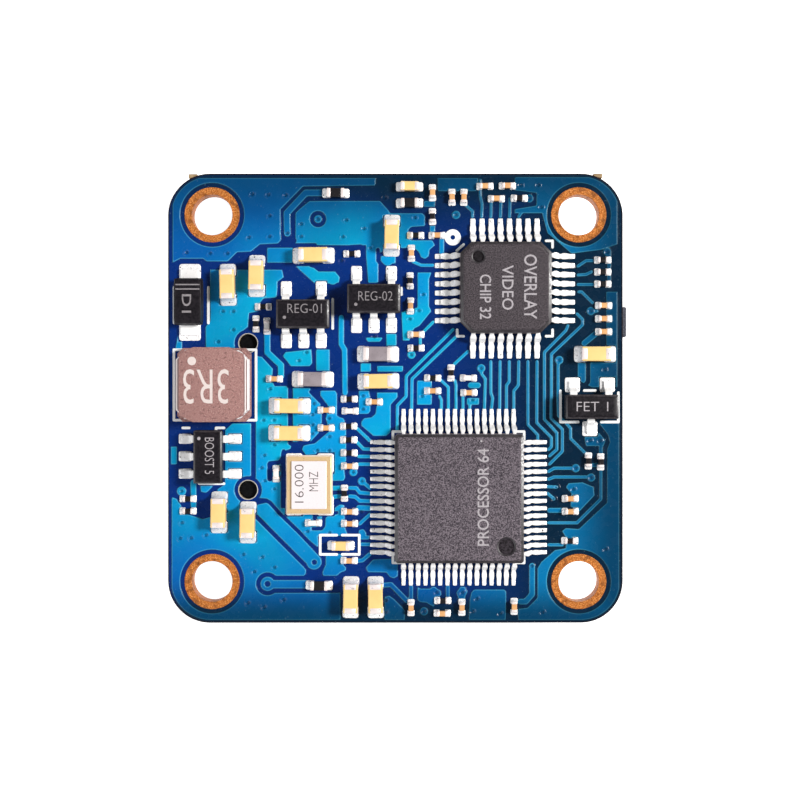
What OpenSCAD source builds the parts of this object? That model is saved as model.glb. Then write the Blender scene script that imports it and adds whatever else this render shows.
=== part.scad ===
// Stack-mount flight controller board, populated on both faces.
// Origin: middle of the stack-hole pattern, on the laminate's lower face. +Z is the chip side.

/* [Board] */
// Board size across, X
board_w = 24.8; // [24.4:0.1:32]
// Board size up, Y
board_d = 24.5; // [24.4:0.1:32]
// Thickness of the laminate
core_t = 1.0; // [0.8:0.1:1.6]
// Radius of the board's corners
corner_r = 2.3; // [1.5:0.1:3]
// Thickness of the solder mask over bare laminate
mask_t = 0.05; // [0.05:0.01:0.08]

/* [Stack holes] */
// Spacing of the four stack holes, both ways
hole_pitch = 20; // [19.5:0.1:20.5]
// Diameter of a stack hole, inside its plating
hole_d = 2.2; // [2:0.1:2.7]
// Diameter of the bare metal ring round a stack hole
ring_d = 3.0; // [2.9:0.05:3.2]

/* [Chips] */
// Side of the processor's moulded body
processor_side = 7; // [6:0.1:7.4]
// Height of the processor's moulded body
processor_h = 1.4; // [1:0.1:1.8]
// Side of the video chip's moulded body
video_side = 5; // [4.4:0.1:5.2]
// Height of the video chip's moulded body
video_h = 1.0; // [0.9:0.1:1.6]
// Side of the power inductor
inductor_side = 4.0; // [3.4:0.1:4.2]
// Height of the power inductor
inductor_h = 1.8; // [1.4:0.1:3]

/* [Button] */
// Width of the side button's nose
button_w = 1.67; // [1.2:0.01:2]
// How far the nose stands out past the board's edge
button_out = 0.41; // [0.35:0.01:0.8]
// Travel of the side button
button_travel = 0.25; // [0.15:0.01:0.3]

/* [Underside] */
// Width of the memory card the socket takes
card_w = 11; // [10.8:0.1:11.4]
// Thickness of the memory card
card_t = 0.9; // [0.7:0.1:1.1]
// Length of the card socket
socket_l = 14.6; // [13:0.1:15]
// Number of ways in the wire connector
wire_ways = 6; // [2:1:7]

/* [Node] */
// Which sub-part to build

/* [Hidden] */
$fn = 40;

edge_x = board_w / 2;
edge_y = board_d / 2;
top_z = core_t + mask_t;         // outer face of the upper solder mask
copper_t = 0.03;
copper_inset = 0.25;
pad_t = 0.03;
ink_t = 0.02;
ink_w = 0.14;
plating = 0.05;                  // wall of a plated hole, and how far its flange stands up
hole_clear = 0.22;               // bare laminate round a ring
via_r = 0.1;
lap = 0.01;                      // how far a cutting shape runs past a face

// ---- Where the parts stand, [x, y, turn] in the board's plane ----

large_caps = [[-9.12, 6.18, 90], [-7.55, 6.66, 90], [-4.46, 7.77, 0], [-0.20, 8.86, 90],
    [-5.76, -0.42, 0], [-5.78, -1.90, 0], [-0.93, 0.92, 0], [-9.60, -6.22, 90],
    [-8.03, -6.77, 90], [-2.43, -10.85, 90], [-1.08, -10.85, 90], [10.88, 2.40, 0]];
beads = [[-0.95, 2.40, 0], [-4.50, 1.03, 0]];
medium_caps = [[0.77, 11.52, 0], [-2.97, -8.03, 0]];
medium_resistors = [[-3.25, 11.17, 0], [0.77, 10.63, 0], [-4.15, -10.20, 0]];
small_resistors = [[-2.38, 7.87, 0], [-7.20, 4.98, 0], [-7.60, 4.05, 90], [-11.30, -5.48, 0],
    [-11.30, -6.15, 0], [-2.52, -0.05, 0], [-2.55, -1.53, 0], [-2.55, -2.27, 0],
    [-2.53, -2.98, 0], [-2.78, -5.18, 90], [2.02, 9.90, 90], [1.10, 8.87, 0],
    [0.80, 6.40, 90], [6.75, 10.90, 0], [11.30, 7.53, 0], [11.30, 6.88, 0],
    [11.30, 6.22, 0], [1.12, 2.73, 0], [3.03, 1.38, 90], [2.03, 1.10, 0],
    [9.50, -7.77, 0], [10.52, -3.42, 90], [11.19, -3.47, 90], [2.58, -11.03, 0]];
small_caps = [[-6.60, 1.05, 0], [-2.50, -3.70, 0], [-2.50, -6.18, 0], [-2.50, -6.83, 0],
    [-2.52, -8.85, 0], [-3.78, -0.65, 0], [-3.78, -1.62, 0], [-1.15, -0.20, 0],
    [2.02, 11.20, 90], [2.27, 8.87, 0], [0.87, 7.90, 90], [0.82, 5.03, 90],
    [3.08, 10.95, 90], [3.73, 10.95, 90], [4.88, 11.55, 0], [6.10, 11.57, 0],
    [5.50, 10.87, 0], [11.35, 5.05, 0], [11.35, 4.33, 0], [11.35, 3.62, 0],
    [1.12, 3.47, 0], [2.03, 0.40, 0], [4.00, 0.30, 0], [9.53, -5.47, 0],
    [9.53, -6.17, 0], [0.85, -11.42, 90], [3.62, -11.40, 90], [6.47, -11.35, 90],
    [2.55, -11.72, 0]];
small_inductors = [[-7.00, 3.93, 90], [-2.47, -0.70, 0], [-6.50, -4.12, 90],
    [-4.47, -6.80, 0], [3.98, 1.10, 0]];
low_small_caps = [[8.6, -5.4, 90], [8.6, -7.2, 90], [4.6, -2.6, 0], [4.6, -3.3, 0],
    [7.6, 8.9, 90], [6.9, 8.9, 90]];
low_small_resistors = [[4.6, -4.0, 0], [4.6, -4.7, 0], [6.9, 3.9, 90], [6.2, 3.9, 90],
    [5.5, 3.9, 90], [-6.9, 9.6, 90], [-6.2, 9.6, 90]];
low_large_caps = [[5.2, -10.2, 0], [1.4, -10.2, 0]];

processor_at = [3.44, -5.40];
video_at = [5.97, 5.98];
regulators_at = [[-5.0, 4.55], [-1.17, 5.38]];
boost_at = [-10.10, -3.17];
transistor_at = [10.60, -0.47];
diode_at = [-11.20, 5.225];
inductor_at = [-9.83, 0.72];
crystal_at = [-4.67, -4.70];
sensor_at = [6.4, -6.6];
led_at = [10.6, -4.6];

// Plated holes that join the two copper layers
vias = [[3.3, 10.0], [7.3, 10.9], [11.55, 7.97], [0.87, 2.37], [4.67, 1.63], [8.93, 2.08],
    [10.65, 4.75], [-11.67, -5.07], [-2.3, -4.03], [-1.83, -4.53], [9.83, -3.82],
    [10.67, -4.33], [8.8, -4.85], [8.65, -5.5], [1.55, -11.63], [3.65, -10.6],
    [7.45, -9.15], [-4.23, 9.77]];

// Chip part: [length, width, height, end length, pad span, pad width, gap between pads]
large_chip = [1.6, 0.8, 0.8, 0.3, 2.25, 0.95, 0.9];
bead_chip = [1.6, 0.8, 0.6, 0.3, 2.25, 0.95, 0.9];
medium_chip = [1.0, 0.5, 0.5, 0.22, 1.45, 0.55, 0.45];
flat_medium_chip = [1.0, 0.5, 0.35, 0.22, 1.45, 0.55, 0.45];
small_chip = [0.6, 0.3, 0.3, 0.15, 0.9, 0.42, 0.26];
flat_small_chip = [0.6, 0.3, 0.23, 0.15, 0.9, 0.42, 0.26];
end_wall = 0.03;                 // thickness of a metal end cap

// Small-outline packages: body along the lead rows, body across, body height, lead reach
sot_l = 2.9;
sot_w = 1.6;
transistor_w = 1.35;
sot_h = 1.1;
sot_reach = 1.4;
sot_pitch = 0.95;
lead_w = 0.4;

// ---- Shared shapes ----

module rounded(w, d, r) {
    square([w - 2 * r, d], center = true);
    square([w, d - 2 * r], center = true);
    for (x = [-1, 1], y = [-1, 1]) translate([x * (w / 2 - r), y * (d / 2 - r)]) circle(r, $fn = 64);
}

module board_plate(t, inset) {
    linear_extrude(t) rounded(board_w - 2 * inset, board_d - 2 * inset, corner_r - inset);
}

module at_stack_holes() {
    for (x = [-1, 1], y = [-1, 1]) translate([x * hole_pitch / 2, y * hole_pitch / 2]) children();
}

// Holes through the board: r_stack at the stack holes, r_peg where the socket's pegs pass
module board_holes(r_stack, r_peg) {
    at_stack_holes() translate([0, 0, -1]) cylinder(core_t + 2, r = r_stack);
    at_pegs() translate([0, 0, -1]) cylinder(core_t + 2, r = r_peg);
}

// Stands its children on the top pads, or hangs them mirrored from the bottom pads
module on_top() translate([0, 0, top_z + pad_t]) children();
module on_bottom() translate([0, 0, -mask_t - pad_t]) mirror([0, 0, 1]) children();

module placed(spots) for (p = spots) translate([p[0], p[1], 0]) rotate([0, 0, p[2]]) children();

module block(x0, x1, y0, y1, z0, z1) translate([x0, y0, z0]) cube([x1 - x0, y1 - y0, z1 - z0]);

// A block given by its plan size about the middle, and its two heights
module slab(w, d, z0, z1) translate([-w / 2, -d / 2, z0]) cube([w, d, z1 - z0]);

module chip_body(c) slab(c[0] - 2 * end_wall, c[1] - 2 * end_wall, end_wall, c[2] - end_wall);

module chip_ends(c) difference() {
    slab(c[0], c[1], 0, c[2]);
    slab(c[0] - 2 * c[3], c[1] + 1, -1, c[2] + 1);
    chip_body(c);
}

module chip_pads(c) {
    w = (c[4] - c[6]) / 2;
    for (s = [-1, 1]) translate([s * (c[6] + w) / 2, 0, -pad_t]) linear_extrude(pad_t)
        square([w, c[5]], center = true);
}

// Bent lead in the X-Z plane: leaves the body at x = r0, stands on its foot out to x = r1
module bent_lead(r0, r1, mid, w, t) {
    knee = r0 + (r1 - r0) * 0.2;
    heel = r0 + (r1 - r0) * 0.42;
    rotate([90, 0, 0]) translate([0, 0, -w / 2]) linear_extrude(w)
        polygon([[r0, mid + t / 2], [knee + t / 2, mid + t / 2], [heel + t / 2, t], [r1, t], [r1, 0],
            [heel - t / 2, 0], [knee - t / 2, mid - t / 2], [r0, mid - t / 2]]);
}

// Four rows of leads, n to a side
module quad_leads(side, n, pitch, mid) {
    for (turn = [0:90:270], i = [0:n - 1])
        rotate([0, 0, turn]) translate([0, (i - (n - 1) / 2) * pitch, 0])
            bent_lead(side / 2, side / 2 + 1, mid, pitch * 0.5, 0.13);
}

module quad_pads(side, n, pitch) {
    for (turn = [0:90:270], i = [0:n - 1])
        rotate([0, 0, turn]) translate([side / 2 + 0.82, (i - (n - 1) / 2) * pitch, -pad_t])
            linear_extrude(pad_t) square([1.1, pitch * 0.62], center = true);
}

module quad_body(side, h, cut) {
    s = side / 2;
    translate([0, 0, 0.1]) linear_extrude(h)
        polygon([[s, s - cut], [s - cut, s], [cut - s, s], [-s, s - cut],
            [-s, cut - s], [cut - s, -s], [s - cut, -s], [s, cut - s]]);
}

// Rows of a small-outline package, as leads along X: lists of positions for the +Y and -Y rows
module sot_legs(up, down, w) {
    for (x = up) translate([x, 0, 0]) rotate([0, 0, 90])
        bent_lead(w / 2, sot_reach, sot_h / 2, lead_w, 0.15);
    for (x = down) translate([x, 0, 0]) rotate([0, 0, -90])
        bent_lead(w / 2, sot_reach, sot_h / 2, lead_w, 0.15);
}

module sot_pads(up, down, w, r0, r1) {
    for (x = up) translate([x, (r0 + r1) / 2, -pad_t]) linear_extrude(pad_t)
        square([w, r1 - r0], center = true);
    for (x = down) translate([x, -(r0 + r1) / 2, -pad_t]) linear_extrude(pad_t)
        square([w, r1 - r0], center = true);
}

module sot_body(w) slab(sot_l, w, 0.08, sot_h);

row_two = [-sot_pitch, sot_pitch];
row_three = [-sot_pitch, 0, sot_pitch];

// ---- Bare board ----

module board_core() color("darkkhaki") difference() {
    board_plate(core_t, 0);
    board_holes(hole_d / 2 + plating, peg_hole_r);
    placed([for (v = vias) [v[0], v[1], 0]]) translate([0, 0, -1]) cylinder(core_t + 2, r = via_r + plating);
}

module copper_sheet() difference() {
    board_plate(copper_t, copper_inset);
    board_holes(ring_d / 2 + hole_clear + 0.15, peg_hole_r + 0.45);
}

module copper_layers() color("peru") {
    translate([0, 0, core_t]) copper_sheet();
    translate([0, 0, -copper_t]) copper_sheet();
}

// Mask over one face, hollowed underneath where it covers the copper
module mask_sheet() difference() {
    board_plate(mask_t, 0);
    copper_sheet();
    board_holes(ring_d / 2 + hole_clear, peg_hole_r + 0.25);
}

module solder_mask_top() color("steelblue") translate([0, 0, core_t]) mask_sheet();
module solder_mask_bottom() color("steelblue") mirror([0, 0, 1]) mask_sheet();

// Plated hole: wall through the laminate and a flat flange on each face
module mounting_hole_rings() color("chocolate") at_stack_holes() difference() {
    union() {
        cylinder(core_t, r = hole_d / 2 + plating);
        translate([0, 0, core_t]) cylinder(mask_t, r = ring_d / 2);
        translate([0, 0, -mask_t]) cylinder(mask_t, r = ring_d / 2);
    }
    translate([0, 0, -1]) cylinder(core_t + 2, r = hole_d / 2);
}

module via_barrels() color("peru") placed([for (v = vias) [v[0], v[1], 0]]) difference() {
    cylinder(core_t, r = via_r + plating);
    translate([0, 0, -1]) cylinder(core_t + 2, r = via_r);
}

// ---- Printed marks ----

module ink_stroke(a, b) {
    d = b - a;
    translate(a) rotate(atan2(d[1], d[0])) translate([0, -ink_w / 2]) square([norm(d), ink_w]);
    for (p = [a, b]) translate(p) circle(d = ink_w, $fn = 24);
}

module ink_path(points) linear_extrude(ink_t)
    for (i = [0:len(points) - 2]) ink_stroke(points[i], points[i + 1]);

// Corner bracket of a square package: s half the square, k arm length
module ink_corners(at, s, k, corners) for (c = corners) translate([at[0], at[1], 0])
    ink_path([[c[0] * s, c[1] * (s - k)], [c[0] * s, c[1] * s], [c[0] * (s - k), c[1] * s]]);

module silkscreen_top() color("white") translate([0, 0, top_z]) {
    // regulators and converters: a line beside the body
    ink_path([[-3.42, 5.4], [-3.42, 3.8]]);
    ink_path([[0.33, 6.0], [0.33, 5.65]]);
    ink_path([[-10.7, -4.66], [-9.35, -4.66]]);
    ink_path([[-9.35, -1.62], [-9.78, -1.62], [-9.78, -1.78]]);
    ink_path([[-11.6, -1.62], [-11.25, -1.62]]);
    // transistor frame
    ink_path([[9.0, 0.4], [9.0, -1.3], [9.97, -1.3]]);
    ink_path([[11.23, -1.3], [12.16, -1.3], [12.16, 0.3]]);
    ink_path([[10.3, 0.42], [10.9, 0.42]]);
    // diode frame
    ink_path([[-10.2, 6.05], [-10.2, 4.1]]);
    ink_path([[-12.07, 6.05], [-12.07, 4.1]]);
    // inductor frame
    for (s = [-1, 1]) {
        ink_path([[-11.2, 0.72 + s * 1.92], [-12.08, 0.72 + s * 1.92], [-12.08, 0.72]]);
        ink_path([[-8.55, 0.72 + s * 1.92], [-7.6, 0.72 + s * 1.92], [-7.6, 0.72]]);
    }
    // brackets round the reset capacitor
    ink_path([[-3.2, -7.47], [-4.1, -7.47], [-4.1, -8.52], [-3.2, -8.52]]);
    ink_path([[-2.9, -7.47], [-1.97, -7.47], [-1.97, -8.52], [-2.9, -8.52]]);
    // corners and pin-one ring of the two big chips
    ink_corners(processor_at, processor_side / 2 + 0.08, 0.45, [[-1, 1], [-1, -1], [1, 1], [1, -1]]);
    ink_corners(video_at, video_side / 2 + 0.1, 0.35, [[-1, -1], [1, 1], [1, -1]]);
    ink_path([[3.35, 8.05], [3.72, 8.38]]);
    translate([3.13, 8.77, 0]) difference() {
        cylinder(ink_t, r = 0.44);
        translate([0, 0, -1]) cylinder(2, r = 0.13);
    }
}

module silkscreen_bottom() color("white") translate([0, 0, -mask_t]) mirror([0, 0, 1]) {
    ink_corners(sensor_at, 1.75, 0.5, [[-1, 1], [-1, -1], [1, 1], [1, -1]]);
    ink_path([[led_at[0] - 0.6, led_at[1] + 1.3], [led_at[0] + 0.6, led_at[1] + 1.3]]);
    ink_path([[-wire_half - 0.5, wire_y0 - 0.9], [-wire_half + 0.6, wire_y0 - 0.9]]);
    ink_path([[wire_half - 0.6, wire_y0 - 0.9], [wire_half + 0.5, wire_y0 - 0.9]]);
}

// ---- Pads ----

module solder_pads_top() color("silver") on_top() {
    placed(concat(large_caps, beads)) chip_pads(large_chip);
    placed(concat(medium_caps, medium_resistors)) chip_pads(medium_chip);
    placed(concat(small_caps, small_resistors, small_inductors)) chip_pads(small_chip);
    translate(processor_at) quad_pads(processor_side, 16, 0.4);
    translate(video_at) quad_pads(video_side, 8, 0.5);
    for (p = regulators_at) translate(p) sot_pads(row_two, row_three, 0.65, 0.95, 1.87);
    translate(boost_at) rotate([0, 0, 90]) sot_pads(row_three, row_three, 0.6, 0.95, 1.75);
    translate(transistor_at) sot_pads(row_two, [0], 0.9, 0.75, 1.64);
    translate(diode_at) for (s = [-1, 1]) translate([0, s * 1.55, -pad_t]) linear_extrude(pad_t)
        square([1.3, 1.2], center = true);
    translate(inductor_at) for (s = [-1, 1]) translate([0, s * 1.45, -pad_t])
        linear_extrude(pad_t) square([2.2, 1.15], center = true);
    translate(crystal_at) for (x = [-1, 1], y = [-1, 1])
        translate([x * 0.85, y * 1.15, -pad_t]) linear_extrude(pad_t) square([1.0, 1.2], center = true);
}

module solder_pads_bottom() color("silver") on_bottom() {
    placed(low_large_caps) chip_pads(large_chip);
    placed(concat(low_small_caps, low_small_resistors)) chip_pads(small_chip);
    translate(sensor_at) for (turn = [0:90:270], i = [-2:2]) rotate([0, 0, turn])
        translate([1.3, i * 0.5, -pad_t]) linear_extrude(pad_t) square([0.5, 0.25], center = true);
    translate(led_at) rotate([0, 0, 90]) chip_pads(large_chip);
    for (x = wire_xs) block(x - 0.3, x + 0.3, wire_y0 - 0.75, wire_y0, -pad_t, 0);
    for (s = [-1, 1]) block(s * (wire_half + 0.35) - 0.35, s * (wire_half + 0.35) + 0.35,
        wire_y0 + 1.4, wire_y0 + 3.2, -pad_t, 0);
    for (x = socket_tab_xs, s = [-1, 1])
        block(x - 0.6, x + 0.6, socket_y + s * (shell_half + 0.3) - 0.3,
            socket_y + s * (shell_half + 0.3) + 0.3, -pad_t, 0);
    for (y = contact_ys) block(socket_x1, socket_x1 + 0.8, y - 0.25, y + 0.25, -pad_t, 0);
    for (s = [-1, 1]) block(switch_x0 + 0.4, switch_x0 + 1.6, switch_y + s * (switch_half + 0.3) - 0.3,
        switch_y + s * (switch_half + 0.3) + 0.3, -pad_t, 0);
}

// ---- Chips ----

module processor_body() color("dimgray") on_top() translate(processor_at)
    quad_body(processor_side, processor_h, 0.15);
module processor_leads() color("silver") on_top() translate(processor_at)
    quad_leads(processor_side, 16, 0.4, 0.1 + processor_h / 2);

module video_chip_body() color("dimgray") on_top() translate(video_at)
    quad_body(video_side, video_h, 0.6);
module video_chip_leads() color("silver") on_top() translate(video_at)
    quad_leads(video_side, 8, 0.5, 0.1 + video_h / 2);

module regulator_bodies() color("darkslategray") on_top()
    for (p = regulators_at) translate(p) sot_body(sot_w);
module regulator_leads() color("silver") on_top()
    for (p = regulators_at) translate(p) sot_legs(row_two, row_three, sot_w);

module boost_converter_body() color("darkslategray") on_top() translate(boost_at)
    rotate([0, 0, 90]) sot_body(sot_w);
module boost_converter_leads() color("silver") on_top() translate(boost_at)
    rotate([0, 0, 90]) sot_legs(row_three, row_three, sot_w);

module transistor_body() color("darkslategray") on_top() translate(transistor_at)
    sot_body(transistor_w);
module transistor_leads() color("silver") on_top() translate(transistor_at)
    sot_legs(row_two, [0], transistor_w);

// Flat-lead diode: a foot under each end of the body, bent up its end face
module diode_body() color("darkslategray") on_top() translate(diode_at) {
    slab(1.6, 2.55, 0.18, 0.98);
    slab(1.6, 1.5, 0.04, 0.18);
}
module diode_terminals() color("silver") on_top() translate(diode_at)
    for (s = [0, 180]) rotate([0, 0, s]) translate([0, 1.325, 0]) slab(1.0, 0.95, 0, 0.18);

// Drum core: base flange, round post, smaller top flange with cut corners
module inductor_flange(w, d, cx, cy, t) linear_extrude(t) polygon([
    [w / 2, d / 2 - cy], [w / 2 - cx, d / 2], [cx - w / 2, d / 2], [-w / 2, d / 2 - cy],
    [-w / 2, cy - d / 2], [cx - w / 2, -d / 2], [w / 2 - cx, -d / 2], [w / 2, cy - d / 2]]);
module inductor_core() color("rosybrown") on_top() translate(inductor_at) {
    translate([0, 0, 0.1]) inductor_flange(inductor_side, inductor_side, 0.3, 0.3, 0.35);
    translate([0, 0, 0.45]) cylinder(inductor_h - 0.8, r = inductor_side * 0.23);
    translate([0, 0, inductor_h - 0.35])
        inductor_flange(inductor_side * 0.86, inductor_side, 0.75, 0.36, 0.35);
}
module inductor_winding() color("peru") on_top() translate(inductor_at) translate([0, 0, 0.5])
    difference() {
        cylinder(inductor_h - 0.9, r = inductor_side * 0.39);
        translate([0, 0, -1]) cylinder(inductor_h + 1, r = inductor_side * 0.23);
    }
module inductor_sleeve() color("lightgray") on_top() translate(inductor_at) difference() {
    translate([0, 0, 0.45]) inductor_flange(inductor_side - 0.12, inductor_side - 0.3, 0.5, 0.5,
        inductor_h - 0.8);
    cylinder(inductor_h, r = inductor_side * 0.39);
}
module inductor_terminals() color("silver") on_top() translate(inductor_at)
    for (s = [-1, 1]) translate([0, s * 1.4, 0]) slab(2.0, 1.0, 0, 0.1);

// Crystal: ceramic tub, quartz blank on two ledges, metal seal ring, welded lid
crystal_w = 2.5;
crystal_l = 3.2;
module crystal_base() color("tan") on_top() translate(crystal_at) {
    difference() {
        slab(crystal_w, crystal_l, 0, 0.5);
        slab(1.7, 2.4, 0.2, 1);
    }
    for (x = [-0.45, 0.45]) translate([x, 1.0, 0]) slab(0.4, 0.4, 0.2, 0.3);
}
module crystal_blank() color("lightcyan") on_top() translate(crystal_at)
    slab(1.3, 2.1, 0.3, 0.38);
module crystal_seal_ring() color("gold") on_top() translate(crystal_at) difference() {
    slab(crystal_w - 0.12, crystal_l - 0.12, 0.5, 0.6);
    slab(1.6, 2.3, 0, 1);
}
module crystal_lid() color("lavender") on_top() translate(crystal_at)
    slab(1.9, 2.6, 0.6, 0.7);

// Motion sensor: leadless moulded body on the underside, seated on its pads
module motion_sensor() color("darkslategray") on_bottom() translate(sensor_at)
    slab(3, 3, 0, 0.85);

// ---- Chip parts ----

module large_capacitor_bodies() color("wheat") {
    on_top() placed(large_caps) chip_body(large_chip);
    on_bottom() placed(low_large_caps) chip_body(large_chip);
}
module large_capacitor_ends() color("silver") {
    on_top() placed(large_caps) chip_ends(large_chip);
    on_bottom() placed(low_large_caps) chip_ends(large_chip);
}
module bead_bodies() color("slategray") on_top() placed(beads) chip_body(bead_chip);
module bead_ends() color("silver") on_top() placed(beads) chip_ends(bead_chip);
module medium_capacitor_bodies() color("tan") on_top() placed(medium_caps) chip_body(medium_chip);
module medium_capacitor_ends() color("silver") on_top() placed(medium_caps) chip_ends(medium_chip);
module medium_resistor_bodies() color("black") on_top()
    placed(medium_resistors) chip_body(flat_medium_chip);
module medium_resistor_ends() color("silver") on_top()
    placed(medium_resistors) chip_ends(flat_medium_chip);
module small_capacitor_bodies() color("tan") {
    on_top() placed(small_caps) chip_body(small_chip);
    on_bottom() placed(low_small_caps) chip_body(small_chip);
}
module small_capacitor_ends() color("silver") {
    on_top() placed(small_caps) chip_ends(small_chip);
    on_bottom() placed(low_small_caps) chip_ends(small_chip);
}
module small_resistor_bodies() color("black") {
    on_top() placed(small_resistors) chip_body(flat_small_chip);
    on_bottom() placed(low_small_resistors) chip_body(flat_small_chip);
}
module small_resistor_ends() color("silver") {
    on_top() placed(small_resistors) chip_ends(flat_small_chip);
    on_bottom() placed(low_small_resistors) chip_ends(flat_small_chip);
}
module small_inductor_bodies() color("ivory") on_top() placed(small_inductors) chip_body(small_chip);
module small_inductor_ends() color("silver") on_top() placed(small_inductors) chip_ends(small_chip);

// ---- Card socket, under the board; heights are measured down from the bottom pads ----

wall = 0.85;                       // side rails of the socket's base
sheet = 0.15;                      // pressed steel
floor_t = 0.35;
slot_h = card_t + 0.2;
rail_h = floor_t + slot_h;
socket_y = -1.0;
socket_x0 = -edge_x + 0.3;
socket_x1 = socket_x0 + socket_l;
base_half = card_w / 2 + 0.1 + wall;
shell_half = base_half + sheet;
peg_r = 0.46;
peg_hole_r = 0.5;
peg_x = socket_x0 + 4.06;
peg_ys = [socket_y - 4, socket_y + 4];
socket_tab_xs = [socket_x0 + 5.6, socket_x1 - 1.2];
contact_ys = [for (i = [0:7]) socket_y - 3.85 + i * 1.1];
back_t = 2.0;

module at_pegs() for (y = peg_ys) translate([peg_x, y, 0]) children();

// Moulded base: floor against the board, two rails, back block, pegs up through the board
module card_socket_base() color("black") on_bottom() {
    difference() {
        block(socket_x0, socket_x1, socket_y - base_half, socket_y + base_half, -pad_t, rail_h);
        block(socket_x0 - 1, socket_x1 - back_t, socket_y - base_half + wall,
            socket_y + base_half - wall, floor_t, rail_h + 1);
        for (y = contact_ys)
            block(socket_x1 - 7, socket_x1 + 1, y - 0.3, y + 0.3, -pad_t - 1, 0.12);
        for (y = contact_ys)
            block(socket_x1 - 7, socket_x1 - back_t, y - 0.3, y + 0.3, 0, floor_t + 1);
    }
    at_pegs() translate([0, 0, -pad_t - mask_t - core_t * 0.8])
        cylinder(mask_t + core_t * 0.8 + pad_t + floor_t / 2, r = peg_r);
}

// Pressed steel cover: top, two sides, solder tabs
module card_socket_shell() color("lightgray") on_bottom() {
    block(socket_x0 + 0.4, socket_x1, socket_y - shell_half, socket_y + shell_half,
        rail_h, rail_h + sheet);
    for (s = [-1, 1]) {
        side = socket_y + s * (base_half + sheet / 2);
        block(socket_x0 + 0.4, socket_x1, side - sheet / 2, side + sheet / 2, 0, rail_h);
        for (x = socket_tab_xs) block(x - 0.5, x + 0.5, socket_y + s * (shell_half + 0.2) - 0.2,
            socket_y + s * (shell_half + 0.2) + 0.2, 0, sheet);
    }
}

// Spring contacts: foot behind the base, strip through its floor, bump in the card slot
module card_socket_contacts() color("gold") on_bottom() for (y = contact_ys)
    translate([0, y + 0.2, 0]) rotate([90, 0, 0]) linear_extrude(0.4)
        polygon([[socket_x1 + 0.7, 0], [socket_x1 + 0.7, 0.12], [socket_x1 - back_t - 0.6, 0.12],
            [socket_x1 - 5.2, 0.72], [socket_x1 - 6.0, 0.6], [socket_x1 - 5.9, 0.5],
            [socket_x1 - 5.25, 0.58], [socket_x1 - back_t - 0.6, 0]]);

// ---- Wire connector, under the board at the +Y edge ----

wire_pitch = 1.0;
wire_half = wire_ways * wire_pitch / 2 + 1.0;
wire_xs = [for (i = [0:wire_ways - 1]) (i - (wire_ways - 1) / 2) * wire_pitch];
wire_y1 = edge_y - 0.1;
wire_y0 = wire_y1 - 4.2;
wire_h = 2.9;

module wire_connector_housing() color("ivory") on_bottom() difference() {
    block(-wire_half, wire_half, wire_y0, wire_y1, -pad_t, wire_h);
    block(-wire_half + 0.6, wire_half - 0.6, wire_y0 + 0.9, wire_y1 + 1, 0.5, wire_h - 0.45);
    for (s = [-1, 1]) block(s * (wire_half - 1.3) - 0.35, s * (wire_half - 1.3) + 0.35,
        wire_y1 - 1.4, wire_y1 + 1, wire_h - 1, wire_h + 1);
    for (x = wire_xs) block(x - 0.15, x + 0.15, wire_y0 - 1, wire_y0 + 0.9, -pad_t - 1, 1.6);
}

// Bent pins: foot behind the housing, up inside its back wall, blade in the cavity
module wire_connector_pins() color("silver") on_bottom() for (x = wire_xs)
    translate([x - 0.15, 0, 0]) rotate([90, 0, 90]) linear_extrude(0.3)
        polygon([[wire_y0 - 0.65, 0], [wire_y0 + 0.55, 0], [wire_y0 + 0.55, 1.3], [wire_y1 - 1.0, 1.3],
            [wire_y1 - 1.0, 1.6], [wire_y0 + 0.25, 1.6], [wire_y0 + 0.25, 0.25], [wire_y0 - 0.65, 0.25]]);

module wire_connector_tabs() color("silver") on_bottom() for (s = [-1, 1]) {
    block(s * (wire_half + 0.1) - 0.1, s * (wire_half + 0.1) + 0.1,
        wire_y0 + 1.5, wire_y0 + 3.1, 0, 1.4);
    block(s * (wire_half + 0.4) - 0.2, s * (wire_half + 0.4) + 0.2,
        wire_y0 + 1.5, wire_y0 + 3.1, 0, 0.2);
}

// ---- Side-push switch, under the board at the +X edge ----

switch_y = 4.23;
switch_half = 1.75;
switch_h = 1.2;
switch_x1 = edge_x - 0.05;
switch_x0 = switch_x1 - 2.95;
lip = 0.45;                        // front wall that keeps the button in
slip = 0.03;                       // running gap round the button
flange_t = 0.4;
flange_half = button_w / 2 + 0.27;
dome_rise = button_travel * 2;
flange_x = switch_x1 - lip - slip - flange_t;
dome_x = flange_x - slip - dome_rise;
dome_half = 1.1;
dome_r = (dome_half * dome_half + dome_rise * dome_rise) / (2 * dome_rise);

module switch_base() color("black") on_bottom() difference() {
    block(switch_x0, switch_x1, switch_y - switch_half, switch_y + switch_half, -pad_t, switch_h);
    block(dome_x, switch_x1 - lip, switch_y - flange_half - slip, switch_y + flange_half + slip,
        0.2, switch_h + 1);
    block(dome_x, switch_x1 + 1, switch_y - button_w / 2 - slip, switch_y + button_w / 2 + slip,
        0.2, switch_h + 1);
}

module switch_cover() color("silver") on_bottom() {
    block(switch_x0, switch_x1, switch_y - switch_half, switch_y + switch_half,
        switch_h, switch_h + sheet);
    for (s = [-1, 1]) block(switch_x1 - 1.3, switch_x1 - 0.5, switch_y + s * (switch_half + 0.06) - 0.06,
        switch_y + s * (switch_half + 0.06) + 0.06, 0.3, switch_h + sheet);
}

// Snap leaf: a bowed strip with its ends on the cavity's back wall
module switch_dome() color("gainsboro") on_bottom() intersection() {
    translate([dome_x + dome_rise - dome_r, switch_y, 0.3]) difference() {
        cylinder(switch_h - 0.4, r = dome_r);
        translate([0, 0, -1]) cylinder(switch_h + 1, r = dome_r - 0.06);
    }
    block(dome_x, flange_x, switch_y - dome_half - 1, switch_y + dome_half + 1, 0, switch_h);
}

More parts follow.
